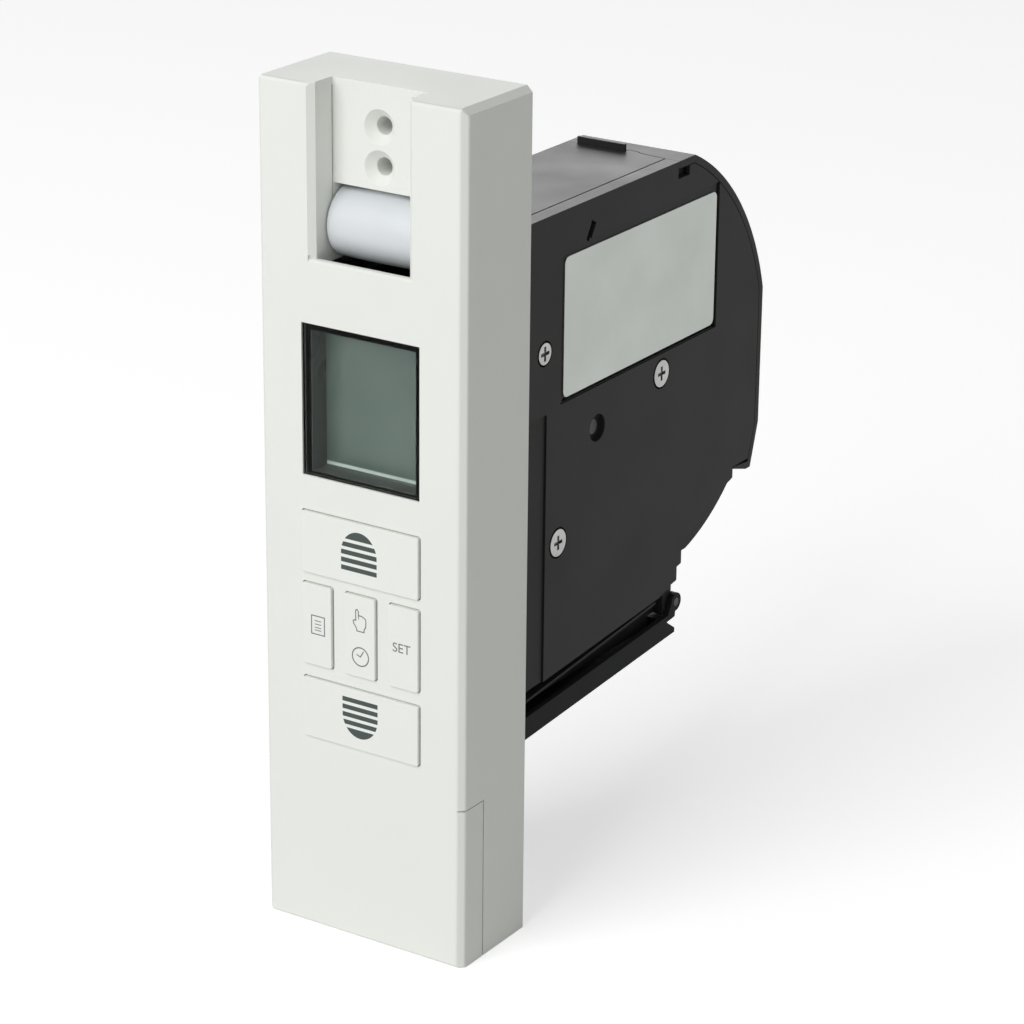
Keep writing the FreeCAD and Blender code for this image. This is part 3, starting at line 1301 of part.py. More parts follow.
for x, y in screwSpots:
    mountPlate = mountPlate.fuse(rodZ(x, y, driveScrewHeadRadius + motorWall, motorTop,
                                      motorTop + motorPlate))
    mountPlate = mountPlate.cut(rodZ(x, y, driveScrewRadius + runGap, motorTop - past,
                                     motorTop + motorPlate + past))
    top = motorTop + motorPlate
    screw = rodZ(x, y, driveScrewHeadRadius, top, top + driveScrewHead)
    driveScrews.append(screw.fuse(rodZ(x, y, driveScrewRadius, motorTop - motorWall, top)))
save("motor_plate", mountPlate.removeSplitter())
save("drive_screws", Part.makeCompound(driveScrews))

# Power board with its transformer, capacitor and relay
save("power_board", block(-powerHalf, powerHalf, powerFront, powerBack, powerBottom, powerTop))
first = powerFront + partSpacing
coreBlock = block(-transformerWidth / 2, transformerWidth / 2, first,
                  first + transformerLength, powerTop + transformerHeight / 2 - transformerCore,
                  powerTop + transformerHeight / 2 + transformerCore)
bobbinHalf = transformerWidth / 2 - bobbinInset
bobbin = block(-bobbinHalf, bobbinHalf, first + transformerCore / 2,
               first + transformerLength - transformerCore / 2, powerTop,
               powerTop + transformerHeight)
save("transformer", coreBlock.fuse(bobbin).removeSplitter())
second = first + transformerLength + partSpacing
save("mains_capacitor", block(-capacitorWidth / 2, capacitorWidth / 2, second,
                              second + capacitorLength, powerTop, powerTop + capacitorHeight))
third = second + capacitorLength + partSpacing
save("motor_relay", block(-relayWidth / 2, relayWidth / 2, third, third + relayLength, powerTop,
                          powerTop + relayHeight))

# Mains terminals and the cable clamp below the body
terminal = block(-terminalHalf, terminalHalf, terminalFront, terminalBack,
                 bodyBottom - terminalDrop, powerBottom)
terminalScrews = []
for pole in range(terminalPoles):
    x = (pole - (terminalPoles - 1) / 2) * terminalPitch
    y = (terminalFront + terminalBack) / 2
    low = bodyBottom - terminalDrop
    terminal = terminal.cut(rodZ(x, y, terminalScrewRadius, low - past, low + terminalScrewDepth))
    screw = rodZ(x, y, terminalScrewRadius, low + terminalScrewDepth / 3,
                 low + terminalScrewDepth)
    slot = block(x - terminalScrewRadius, x + terminalScrewRadius, y - crossWidth / 2,
                 y + crossWidth / 2, low, low + terminalScrewDepth / 3 + crossDepth)
    terminalScrews.append(screw.cut(slot))
save("terminal_block", terminal)
barTop = bodyBottom - clampSpace
clampBarSolid = block(-clampHalf - clampPost / 2, clampHalf + clampPost / 2, clampFront,
                      clampFront + clampLength, barTop - clampBar, barTop)
for s in (-1, 1):
    y = clampFront + clampLength / 2
    clampBarSolid = clampBarSolid.cut(rodZ(s * clampHalf, y, driveScrewRadius / 2,
                                           barTop - clampBar - past, barTop + past))
    head = rodZ(s * clampHalf, y, driveScrewRadius, barTop - clampBar - bushFlange,
                barTop - clampBar)
    terminalScrews.append(head.fuse(rodZ(s * clampHalf, y, driveScrewRadius / 2,
                                      barTop - clampBar, barTop)))
save("cable_clamp", clampBarSolid)
save("terminal_screws", Part.makeCompound(terminalScrews))

# Terminal flap and its hinge pin: a shallow tray, open to the wall, notched at the hinge
lowSlope = (flapLowBack - flapLowFront) / (flapBackY - flapFront)
notchInnerY = flapNotchY - flapWall
shoulderY = hingeY - flapShoulder
shoulderZ = flapLowFront + flapHeight + (shoulderY - flapFront) * lowSlope
flapOutline = [(flapFront, flapLowFront), (flapBackY, flapLowBack),
               (flapBackY, flapLowBack + flapHeelRise), (flapNotchY, flapNotchZ),
               (flapBackY, flapEarZ), (hingeY, hingeZ), (hingeY - hingeBarrel, hingeZ),
               (shoulderY, shoulderZ),
               (flapFront, flapLowFront + flapHeight)]
flap = prismX(flapOutline, -bodyLeft, bodyRight)
flap = flap.fuse(rodX(hingeY, hingeZ, hingeBarrel, -bodyLeft, bodyRight))
hollowTop = hingeZ + hingeBarrel + past
hollowBack = hingeY + hingeBarrel + past
hollow = [(flapFront - past, flapLowFront + flapWall - past * lowSlope),
          (notchInnerY, flapLowFront + flapWall + (notchInnerY - flapFront) * lowSlope),
          (notchInnerY, flapNotchZ + flapSkin), (hollowBack, flapEarZ + flapSkin),
          (hollowBack, hollowTop), (flapFront - past, hollowTop)]
flap = flap.cut(prismX(hollow, -bodyLeft + flapWall, bodyRight - flapWall))
flap = flap.cut(rodX(hingeY, hingeZ, hingePinRadius + runGap, -bodyLeft - past,
                     bodyRight + past))
save("terminal_flap", flap.removeSplitter())
save("flap_pin", rodX(hingeY, hingeZ, hingePinRadius, -bodyLeft, bodyRight))

print("middle gear axis", round(middleY - coverDepth, 4), round(middleZ - originHeight, 4))
print("drive shaft axis", round(driveY - coverDepth, 4), round(driveZ - originHeight, 4))
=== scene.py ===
import json
import math

import bmesh
import bpy
import numpy as np
from mathutils import Matrix, Vector


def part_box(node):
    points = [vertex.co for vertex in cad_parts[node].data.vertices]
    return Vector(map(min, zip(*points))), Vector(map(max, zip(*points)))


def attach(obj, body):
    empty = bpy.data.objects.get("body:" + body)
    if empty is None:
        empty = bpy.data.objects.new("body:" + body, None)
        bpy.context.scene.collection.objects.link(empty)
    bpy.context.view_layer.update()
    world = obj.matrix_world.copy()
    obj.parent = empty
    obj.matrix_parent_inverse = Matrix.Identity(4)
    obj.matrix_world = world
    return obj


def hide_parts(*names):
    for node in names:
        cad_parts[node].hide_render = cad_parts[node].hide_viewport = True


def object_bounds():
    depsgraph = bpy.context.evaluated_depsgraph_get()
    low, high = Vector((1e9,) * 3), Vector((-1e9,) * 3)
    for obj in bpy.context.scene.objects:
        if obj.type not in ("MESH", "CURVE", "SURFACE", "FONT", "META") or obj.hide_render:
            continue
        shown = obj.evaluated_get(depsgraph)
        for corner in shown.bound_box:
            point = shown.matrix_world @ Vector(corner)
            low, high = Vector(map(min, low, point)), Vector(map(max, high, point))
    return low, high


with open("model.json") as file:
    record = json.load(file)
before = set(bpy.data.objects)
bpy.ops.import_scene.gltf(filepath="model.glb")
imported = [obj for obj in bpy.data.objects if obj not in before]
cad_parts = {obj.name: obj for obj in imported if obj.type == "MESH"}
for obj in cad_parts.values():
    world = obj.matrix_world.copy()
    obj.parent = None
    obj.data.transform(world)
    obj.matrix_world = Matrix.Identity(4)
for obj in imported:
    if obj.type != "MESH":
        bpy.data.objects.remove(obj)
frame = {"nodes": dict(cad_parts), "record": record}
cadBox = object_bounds()
print("frame loaded:", len(frame["nodes"]), "nodes")

mm = 0.001
bodyOfNode = {n: b for b, ns in frame["record"]["behaviour"]["bodies"].items() for n in ns}
slotOfNode = {row["node"]: row["material_slot"] for row in frame["record"]["subparts"]}
objectBottom = cadBox[0][2]  # the lower edge of the white box, which stands on the floor


# Materials

def principled(tree):
    return next(n for n in tree.nodes if n.type == "BSDF_PRINCIPLED")


def newMaterial(name):
    material = bpy.data.materials.new(name)
    material.use_nodes = True
    tree = material.node_tree
    return material, tree, principled(tree)


def objectCoordinates(tree, stretch=(1, 1, 1)):
    coordinates = tree.nodes.new("ShaderNodeTexCoord")
    mapping = tree.nodes.new("ShaderNodeMapping")
    mapping.inputs["Scale"].default_value = stretch
    tree.links.new(coordinates.outputs["Object"], mapping.inputs["Vector"])
    return mapping.outputs["Vector"]


def alongAxis(tree, place, axis):
    split = tree.nodes.new("ShaderNodeSeparateXYZ")
    tree.links.new(place, split.inputs[0])
    return split.outputs[axis]


def noise(tree, place, scale, detail=2.0, roughness=0.5):
    node = tree.nodes.new("ShaderNodeTexNoise")
    node.inputs["Scale"].default_value = scale
    node.inputs["Detail"].default_value = detail
    node.inputs["Roughness"].default_value = roughness
    tree.links.new(place, node.inputs["Vector"])
    return node.outputs["Fac"]


def remap(tree, value, low, high, toLow, toHigh):
    node = tree.nodes.new("ShaderNodeMapRange")
    node.inputs["From Min"].default_value = low
    node.inputs["From Max"].default_value = high
    node.inputs["To Min"].default_value = toLow
    node.inputs["To Max"].default_value = toHigh
    tree.links.new(value, node.inputs["Value"])
    return node.outputs["Result"]


noiseBand = (0.3, 0.7)  # nearly all values of a noise lie in it


# A noise drawn out to the whole of a range
def spread(tree, value, toLow, toHigh):
    return remap(tree, value, *noiseBand, toLow, toHigh)


def blendColours(tree, factor, first, second):
    node = tree.nodes.new("ShaderNodeMix")
    node.data_type = "RGBA"
    for socket, colour in ((node.inputs[6], first), (node.inputs[7], second)):
        if isinstance(colour, bpy.types.NodeSocket):
            tree.links.new(colour, socket)
        else:
            socket.default_value = (*colour, 1)
    tree.links.new(factor, node.inputs[0])
    return node.outputs[2]


def added(tree, first, second):
    node = tree.nodes.new("ShaderNodeMath")
    node.operation = "ADD"
    tree.links.new(first, node.inputs[0])
    tree.links.new(second, node.inputs[1])
    return node.outputs[0]


def bump(tree, shader, height, distance, strength):
    node = tree.nodes.new("ShaderNodeBump")
    node.inputs["Distance"].default_value = distance
    node.inputs["Strength"].default_value = strength
    tree.links.new(height, node.inputs["Height"])
    tree.links.new(node.outputs["Normal"], shader.inputs["Normal"])


plasticGrain = {"cloudShare": 0.7, "cloudDetail": 3, "detail": 2, "roughness": 0.6,
                "glossSpread": 0.05, "scatter": (0.002, 0.002, 0.002)}


# Moulded plastic: cloudy tone, eroded grain in the surface, and patches of wear in the gloss
def mouldedPlastic(name, look):
    material, tree, shader = newMaterial(name)
    place = objectCoordinates(tree)
    clouds = noise(tree, place, look["cloudScale"], plasticGrain["cloudDetail"])
    grain = noise(tree, place, look["grainScale"], plasticGrain["detail"],
                  plasticGrain["roughness"])
    share, glossSpread = plasticGrain["cloudShare"], plasticGrain["glossSpread"]
    tone = added(tree, spread(tree, clouds, 0, share), spread(tree, grain, 0, 1 - share))
    shade = tuple(c * (1 - look["mottle"]) for c in look["colour"])
    tree.links.new(blendColours(tree, tone, shade, look["colour"]), shader.inputs["Base Color"])
    tree.links.new(spread(tree, clouds, look["rough"] - glossSpread, look["rough"] + glossSpread),
                   shader.inputs["Roughness"])
    shader.inputs["Specular IOR Level"].default_value = look.get("gloss", 0.5)
    shader.inputs["Subsurface Weight"].default_value = look.get("depth", 0.0)
    shader.inputs["Subsurface Radius"].default_value = plasticGrain["scatter"]
    shader.inputs["Subsurface Scale"].default_value = 1.0
    bump(tree, shader, grain, look["grainDepth"], look["grainStrength"])
    return material


metalGrain = {"lineShare": 0.5, "lineDetail": 3, "roughness": 0.6, "driftDetail": 2,
              "glossSpread": 0.07}


# Metal: tone drift, fine drawn lines along one axis
def drawnMetal(name, look):
    material, tree, shader = newMaterial(name)
    lines = noise(tree, objectCoordinates(tree, look["stretch"]), look["lineScale"],
                  metalGrain["lineDetail"], metalGrain["roughness"])
    drift = noise(tree, objectCoordinates(tree), look["driftScale"], metalGrain["driftDetail"])
    share, glossSpread = metalGrain["lineShare"], metalGrain["glossSpread"]
    tone = added(tree, spread(tree, lines, 0, share), spread(tree, drift, 0, 1 - share))
    tree.links.new(blendColours(tree, tone, look["dark"], look["light"]),
                   shader.inputs["Base Color"])
    tree.links.new(spread(tree, lines, look["rough"] - glossSpread, look["rough"] + glossSpread),
                   shader.inputs["Roughness"])
    shader.inputs["Metallic"].default_value = look["metallic"]
    bump(tree, shader, lines, look["lineDepth"], look["lineStrength"])
    return material


# Screw metal: the same, with painted shade in the deep part of the cross recess, told by its
# place along X
def recessShadedMetal(name, look):
    material = drawnMetal(name, look)
    tree = material.node_tree
    colour = principled(tree).inputs["Base Color"]
    bright = colour.links[0].from_socket
    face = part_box("side_screws")[1].x
    # Painted shade: the colour goes dark where the recess lies deeper than the head's face
    deep = remap(tree, alongAxis(tree, objectCoordinates(tree), "X"), face - look["deep"],
                 face - look["shallow"], 1, 0)
    tree.links.new(blendColours(tree, deep, bright, look["recess"]), colour)
    return material


# Printed board: solder mask over a net of traces
def printedBoard(name, look):
    material, tree, shader = newMaterial(name)
    place = objectCoordinates(tree)
    net = tree.nodes.new("ShaderNodeTexVoronoi")
    net.feature = "DISTANCE_TO_EDGE"
    net.distance = "MANHATTAN"
    net.inputs["Scale"].default_value = look["traceScale"]
    tree.links.new(place, net.inputs["Vector"])
    traces = remap(tree, net.outputs["Distance"], *look["traceEdge"], 1, 0)
    tree.links.new(blendColours(tree, traces, look["mask"], look["trace"]),
                   shader.inputs["Base Color"])
    tree.links.new(spread(tree, noise(tree, place, look["weaveScale"]), *look["rough"]),
                   shader.inputs["Roughness"])
    bump(tree, shader, traces, look["traceDepth"], look["traceStrength"])
    return material


# Clear window: light tint, a little haze in the gloss
def clearWindow(name, look):
    material, tree, shader = newMaterial(name)
    haze = noise(tree, objectCoordinates(tree), look["hazeScale"], look["hazeDetail"])
    tree.links.new(blendColours(tree, haze, look["tint"], look["clear"]),
                   shader.inputs["Base Color"])
    tree.links.new(spread(tree, haze, *look["rough"]), shader.inputs["Roughness"])
    shader.inputs["Transmission Weight"].default_value = 1.0
    shader.inputs["IOR"].default_value = look["refraction"]
    return material


# Display glass: grey-green, with a painted highlight as a pale line along its lower edge
def displayGlass(name, look):
    material, tree, shader = newMaterial(name)
    place = objectCoordinates(tree)
    clouds = noise(tree, place, look["cloudScale"])
    glass = blendColours(tree, spread(tree, clouds, 0, 1), look["dark"], look["light"])
    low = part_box("display_bezel")[0].z + look["highlightRise"]
    # Painted highlight: the pale line just above the bezel's lower edge
    line = remap(tree, alongAxis(tree, place, "Z"), low, low + look["highlightWidth"], 1, 0)
    tree.links.new(blendColours(tree, line, glass, look["line"]), shader.inputs["Base Color"])
    shader.inputs["Roughness"].default_value = look["rough"]
    bump(tree, shader, noise(tree, place, look["grainScale"]), look["grainDepth"],
         look["grainStrength"])
    return material


materials = {
    "cover_white": mouldedPlastic("coverWhite", {
        "colour": (0.800, 0.818, 0.775), "mottle": 0.02, "cloudScale": 30, "grainScale": 2500,
        "rough": 0.55, "gloss": 0.08, "grainDepth": 0.00003, "grainStrength": 0.25}),
    "key_white": mouldedPlastic("keyWhite", {
        "colour": (0.808, 0.826, 0.785), "mottle": 0.015, "cloudScale": 60, "grainScale": 3000,
        "rough": 0.5, "gloss": 0.08, "grainDepth": 0.00002, "grainStrength": 0.2}),
    "nylon": mouldedPlastic("rollerNylon", {
        "colour": (0.670, 0.700, 0.722), "mottle": 0.03, "cloudScale": 90, "grainScale": 1800,
        "rough": 0.35, "grainDepth": 0.00002, "grainStrength": 0.2, "depth": 0.4}),
    "body_black": mouldedPlastic("bodyBlack", {
        "colour": (0.026, 0.026, 0.0255), "mottle": 0.2, "cloudScale": 40, "grainScale": 2600,
        "rough": 0.45, "gloss": 0.10, "grainDepth": 0.00008, "grainStrength": 0.4}),
    # Painted shade: the body's black plastic made darker for the flap, standing in for the shadow
    # under the body
    "flap_black_shaded": mouldedPlastic("flapBlackShaded", {
        "colour": (0.014, 0.0155, 0.0145), "mottle": 0.2, "cloudScale": 50, "grainScale": 2400,
        "rough": 0.5, "gloss": 0.05, "grainDepth": 0.00006, "grainStrength": 0.4}),
    "bezel_black": mouldedPlastic("bezelBlack", {
        "colour": (0.060, 0.068, 0.063), "mottle": 0.06, "cloudScale": 25, "grainScale": 2600,
        "rough": 0.3, "gloss": 0.35, "grainDepth": 0.00002, "grainStrength": 0.2}),
    "gear_plastic": mouldedPlastic("gearPlastic", {
        "colour": (0.62, 0.60, 0.52), "mottle": 0.06, "cloudScale": 120, "grainScale": 2600,
        "rough": 0.38, "grainDepth": 0.00002, "grainStrength": 0.2, "depth": 0.1}),
    "light_guide": mouldedPlastic("lightGuide", {
        "colour": (0.72, 0.73, 0.70), "mottle": 0.04, "cloudScale": 90, "grainScale": 1500,
        "rough": 0.5, "grainDepth": 0.00003, "grainStrength": 0.3}),
    "part_black": mouldedPlastic("partBlack", {
        "colour": (0.022, 0.022, 0.024), "mottle": 0.25, "cloudScale": 200, "grainScale": 3500,
        "rough": 0.55, "grainDepth": 0.00004, "grainStrength": 0.4}),
    "cell_sleeve": mouldedPlastic("cellSleeve", {
        "colour": (0.035, 0.075, 0.23), "mottle": 0.1, "cloudScale": 150, "grainScale": 1200,
        "rough": 0.25, "grainDepth": 0.00003, "grainStrength": 0.3}),
    "terminal_grey": mouldedPlastic("terminalGrey", {
        "colour": (0.34, 0.35, 0.34), "mottle": 0.08, "cloudScale": 120, "grainScale": 2600,
        "rough": 0.5, "grainDepth": 0.00004, "grainStrength": 0.3}),
    "zinc_steel": drawnMetal("zincSteel", {
        "dark": (0.42, 0.42, 0.41), "light": (0.66, 0.66, 0.65), "stretch": (1, 1, 1),
        "lineScale": 900, "driftScale": 150, "rough": 0.32, "metallic": 1.0,
        "lineDepth": 0.00002, "lineStrength": 0.3}),
    # Screw heads: the recess colour is painted shade in the cross recess
    "screw_steel_recess_shade": recessShadedMetal("screwSteelRecessShade", {
        "dark": (0.38, 0.38, 0.37), "light": (0.54, 0.54, 0.53), "stretch": (1, 1, 1),
        "lineScale": 900, "driftScale": 150, "rough": 0.36, "metallic": 1.0,
        "lineDepth": 0.00002, "lineStrength": 0.3, "recess": (0.15, 0.15, 0.145),
        "deep": 0.0004, "shallow": 0.0002}),
    "dark_steel": drawnMetal("darkSteel", {
        "dark": (0.05, 0.05, 0.055), "light": (0.12, 0.12, 0.125), "stretch": (0.1, 0.1, 1),
        "lineScale": 2500, "driftScale": 200, "rough": 0.5, "metallic": 0.8,
        "lineDepth": 0.00005, "lineStrength": 0.5}),
    "brass": drawnMetal("brass", {
        "dark": (0.48, 0.33, 0.12), "light": (0.68, 0.49, 0.2), "stretch": (1, 1, 1),
        "lineScale": 1200, "driftScale": 200, "rough": 0.28, "metallic": 1.0,
        "lineDepth": 0.00002, "lineStrength": 0.3}),
    "label_silver": drawnMetal("labelSilver", {
        "dark": (0.45, 0.48, 0.45), "light": (0.54, 0.57, 0.54), "stretch": (1, 1, 1),
        "lineScale": 3500, "driftScale": 60, "rough": 0.42, "metallic": 0.9,
        "lineDepth": 0.00002, "lineStrength": 0.25}),
    "board_green": printedBoard("boardGreen", {
        "mask": (0.012, 0.10, 0.035), "trace": (0.025, 0.17, 0.06), "traceScale": 350,
        "traceEdge": (0.04, 0.08), "traceDepth": 0.00004, "traceStrength": 0.5,
        "weaveScale": 1500, "rough": (0.28, 0.42)}),
    "lens": clearWindow("displayWindow", {
        "tint": (0.86, 0.90, 0.88), "clear": (0.93, 0.95, 0.94), "hazeScale": 200,
        "hazeDetail": 3, "rough": (0.01, 0.05), "refraction": 1.2}),
    # The line colour is a painted highlight along the glass's lower edge
    "display_grey": displayGlass("displayGlass", {
        "dark": (0.088, 0.125, 0.108), "light": (0.113, 0.150, 0.134), "cloudScale": 60,
        "line": (0.66, 0.74, 0.70), "highlightRise": 0.0015, "highlightWidth": 0.0004, "rough": 0.3,
        "grainScale": 2000, "grainDepth": 0.00001, "grainStrength": 0.2}),
}


# What every piece needs: an object in the scene, a material, its body and the node it replaces

def linked(name, data):
    piece = bpy.data.objects.new(name, data)
    bpy.context.scene.collection.objects.link(piece)
    return piece


def paint(piece, material):
    piece.data.materials.clear()
    piece.data.materials.append(material)


def dressed(piece, material, body, replaced=None):
    paint(piece, material)
    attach(piece, body)
    if replaced:
        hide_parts(replaced)


for nodeName, node in frame["nodes"].items():
    paint(node, materials[slotOfNode[nodeName]])
print("materials:", len(materials))


# Pieces with softened edges, widths in millimetres
softening = {
    "mergeDistance": 2e-6, "flatAngle": math.radians(0.6), "edgeAngle": math.radians(35),
    "segments": 2, "rimWidth": 0.35, "rimSegments": 3, "rimReach": 0.004,
    "rimNodes": ("front_cover", "service_cover"),
    "widths": {
        "key_up": 0.12, "key_menu": 0.12, "key_mode": 0.12, "key_set": 0.12, "key_down": 0.12,
        "belt_guide": 0.12, "housing_shell": 0.30, "side_cover": 0.20, "motor_cover": 0.05,
        "rear_guard": 0.30, "terminal_flap": 0.35, "side_screws": 0.08, "rating_plate": 0.08,
        "display_bezel": 0.12,
    },
}
# The flap takes a darker copy of the body's black as painted shade; the screws take metal with
# painted shade in the cross recess
finishOfNode = {"terminal_flap": "flap_black_shaded", "side_screws": "screw_steel_recess_shade"}  # not its slot's


def smoothed(mesh):
    mesh.shade_smooth()
    mesh.set_sharp_from_angle(angle=softening["edgeAngle"])


# A bevel weight of 1 on the sharp edges of the white box's front rim: the edges with both ends
# on its front face or in the chamfer behind it, out at the sides, at the top or at the foot
def markRim(mesh):
    ends, places = np.empty(len(mesh.edges) * 2, int), np.empty(len(mesh.vertices) * 3)
    mesh.edges.foreach_get("vertices", ends)
    mesh.vertices.foreach_get("co", places)
    low, high = np.array(cadBox[0]), np.array(cadBox[1])
    reach = softening["rimReach"]
    x, y, z = np.moveaxis(places.reshape(-1, 3)[ends.reshape(-1, 2)], 2, 0)
    atTopOrFoot = ((z > high[2] - reach) | (z < low[2] + reach)).all(1)
    outside = (x > high[0] - reach).all(1) | (x < low[0] + reach).all(1) | atTopOrFoot
    ahead = (y < low[1] + reach).all(1)
    sharp = np.empty(len(mesh.edges), bool)
    mesh.attributes["sharp_edge"].data.foreach_get("value", sharp)
    weights = mesh.attributes.new("bevel_weight_edge", "FLOAT", "EDGE")
    weights.data.foreach_set("value", (outside & ahead & sharp).astype(np.float32))


# A copy of the node with its doubles merged and its flats joined, then rounded along its edges
def softened(nodeName):
    work = bmesh.new()
    work.from_mesh(frame["nodes"][nodeName].data)
    bmesh.ops.remove_doubles(work, verts=work.verts, dist=softening["mergeDistance"])
    bmesh.ops.dissolve_limit(work, angle_limit=softening["flatAngle"], verts=work.verts,
                             edges=work.edges)
    mesh = bpy.data.meshes.new("soft_" + nodeName)
    work.to_mesh(mesh)
    work.free()
    smoothed(mesh)
    piece = linked("soft_" + nodeName, mesh)
    rounding = piece.modifiers.new("rounding", "BEVEL")
    if nodeName in softening["rimNodes"]:
        markRim(mesh)
        rounding.width = softening["rimWidth"] * mm
        rounding.segments = softening["rimSegments"]
        rounding.limit_method = "WEIGHT"
    else:
        rounding.width = softening["widths"][nodeName] * mm
        rounding.segments = softening["segments"]
        rounding.limit_method = "ANGLE"
        rounding.angle_limit = softening["edgeAngle"]
    shading = piece.modifiers.new("shading", "WEIGHTED_NORMAL")
    shading.keep_sharp = True
    slotName = slotOfNode[nodeName]
    dressed(piece, materials[finishOfNode.get(nodeName, slotName)],
            bodyOfNode[nodeName], nodeName)


softNodes = (*softening["rimNodes"], *softening["widths"])
for nodeName in softNodes:
    softened(nodeName)
print("softened:", len(softNodes))


# A mesh given as points and faces
def placed(name, points, faces):
    mesh = bpy.data.meshes.new(name)
    mesh.from_pydata(points.tolist(), [], [list(f) for f in faces])
    mesh.validate()
    return linked(name, mesh)


# A closed profile of (distance along X, radius) carried round an axis along X: x = distance, y
# and z = axis + radius times cosine and sine of the turn
def turned(name, profile, axis, steps):
    along, radius = profile.T
    count = len(along)
    turn = np.arange(steps) * 2 * math.pi / steps
    x = np.broadcast_to(along, (steps, count))
    y = axis[0] + np.outer(np.cos(turn), radius)
    z = axis[1] + np.outer(np.sin(turn), radius)
    points = np.stack([x, y, z], axis=2).reshape(-1, 3)
    here = np.arange(steps)[:, None] * count
    over = (here + count) % (steps * count)
    step = np.arange(count)[None, :]
    on = (step + 1) % count
    faces = np.stack([here + step, over + step, over + on, here + on], axis=2)
    return placed(name, points, faces.reshape(-1, 4))


# Guide roller, in millimetres
roller = {"rounding": 0.9, "crown": 0.2, "crownSteps": 11, "boreChamfer": 0.4, "boreGap": 0.05,
          "spinSteps": 128, "arcSteps": 14}


# Half a section of the roller: bore chamfer, quarter circle, crown (outer radius less the crown
# times the squared share of the half length), quarter circle, bore chamfer
def rollerProfile(half, outer, bore):
    rounding, chamfer = roller["rounding"] * mm, roller["boreChamfer"] * mm
    share = np.linspace(-1, 1, roller["crownSteps"])[1:-1]
    crown = np.stack([share * (half - rounding), outer - roller["crown"] * mm * share ** 2], 1)
    arc = np.linspace(0, math.pi / 2, roller["arcSteps"])
    edge = outer - roller["crown"] * mm
    leftArc = np.stack([-half + rounding * (1 - np.sin(arc)),
                        edge - rounding * (1 - np.cos(arc))], 1)
    return np.concatenate([
        [(-half + chamfer, bore), (-half, bore + chamfer)], leftArc[::-1], crown,
        leftArc * (-1, 1), [(half, bore + chamfer), (half - chamfer, bore)]])


low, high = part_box("guide_roller")
axleLow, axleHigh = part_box("roller_axle")
bore = (axleHigh.z - axleLow.z) / 2 + roller["boreGap"] * mm
rollerFinish = turned("roller_finish", rollerProfile(high.x, (high.z - low.z) / 2, bore),
                      ((low.y + high.y) / 2, (low.z + high.z) / 2), roller["spinSteps"])
smoothed(rollerFinish.data)
dressed(rollerFinish, materials["nylon"], "roller", "guide_roller")
print("guide roller")

# Prints on the keys, in millimetres above the lower edge of the white box
prints = {
    "ink": (0.060, 0.080, 0.074), "thinInk": (0.17, 0.185, 0.175), "height": 0.02,
    "sink": 0.03, "line": 0.28, "fineLine": 0.224, "boldLine": 0.322, "sharpest": 0.4,
}


def ink(name, colour):
    return mouldedPlastic(name, {
        "colour": colour, "mottle": 0.12, "cloudScale": 500, "grainScale": 4000, "rough": 0.5,
        "gloss": 0.3, "grainDepth": 0.00001, "grainStrength": 0.2})


darkInk = ink("darkInk", prints["ink"])
thinInk = ink("thinInk", prints["thinInk"])


# Outlines, anticlockwise seen from the room, made slabs through the key's face
def slabs(outlines, front, back):
    points, faces, start = [], [], 0
    for outline in outlines:
        flat = outline * mm + (0, objectBottom)
        count = len(flat)
        points += [np.insert(flat, 1, y, axis=1) for y in (front, back)]
        i = np.arange(count)
        j = (i + 1) % count
        sides = start + np.stack([i, i + count, j + count, j], 1)
        faces += [list(start + i), list(start + count + i[::-1])] + sides.tolist()
        start += 2 * count
    return points, faces


# A line with a width: each point moved to both sides along its normal, further at a bend
def ribbon(line, width, closed=False):
    line = np.array(line, float)
    if closed:
        ahead, behind = np.roll(line, -1, 0) - line, line - np.roll(line, 1, 0)
    else:
        steps = np.diff(line, axis=0)
        ahead, behind = np.vstack([steps, steps[-1:]]), np.vstack([steps[:1], steps])
    ahead /= np.linalg.norm(ahead, axis=1)[:, None]
    behind /= np.linalg.norm(behind, axis=1)[:, None]
    tangent = ahead + behind
    tangent /= np.linalg.norm(tangent, axis=1)[:, None]
    bend = np.maximum((tangent * ahead).sum(1), prints["sharpest"])
    aside = np.stack([-tangent[:, 1], tangent[:, 0]], 1) * (width / 2 / bend)[:, None]
    return line + aside, line - aside, closed


# Ribbons made low bars through the key's face: the rectangle of a ribbon's two sides, front and
# back, is carried from point to point, with a cap at each end of an open one
def lineBars(ribbons, front, back):
    points, faces, start = [], [], 0
    for left, right, closed in ribbons:
        count = len(left)
        corners = [np.insert(side * mm + (0, objectBottom), 1, y, axis=1)
                   for side, y in ((right, front), (left, front), (left, back), (right, back))]
        points.append(np.stack(corners, 1).reshape(-1, 3))
        i = 4 * np.arange(count if closed else count - 1)
        j = (i + 4) % (4 * count)
        for here, on in ((0, 1), (1, 2), (2, 3), (3, 0)):
            faces += (start + np.stack([i + here, j + here, j + on, i + on], 1)).tolist()
        if not closed:
            cap = np.arange(4)
            faces += [list(start + cap), list(start + 4 * (count - 1) + cap[::-1])]
        start += 4 * count
    return points, faces


def printed(name, build, shapes, keyNode, material):
    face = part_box(keyNode)[0].y
    points, faces = build(shapes, face - prints["height"] * mm, face + prints["sink"] * mm)
    piece = placed(name, np.concatenate(points), faces)
    dressed(piece, material, bodyOfNode[keyNode])


shutter = {"half": 5.35, "bottom": 101.05, "foot": 105.5, "rise": 6.1, "pitch": 2.07,
           "bar": 1.22, "bars": 5, "steps": 22, "ease": 0.8, "downTop": 66.95,
           "downShift": 0.1}


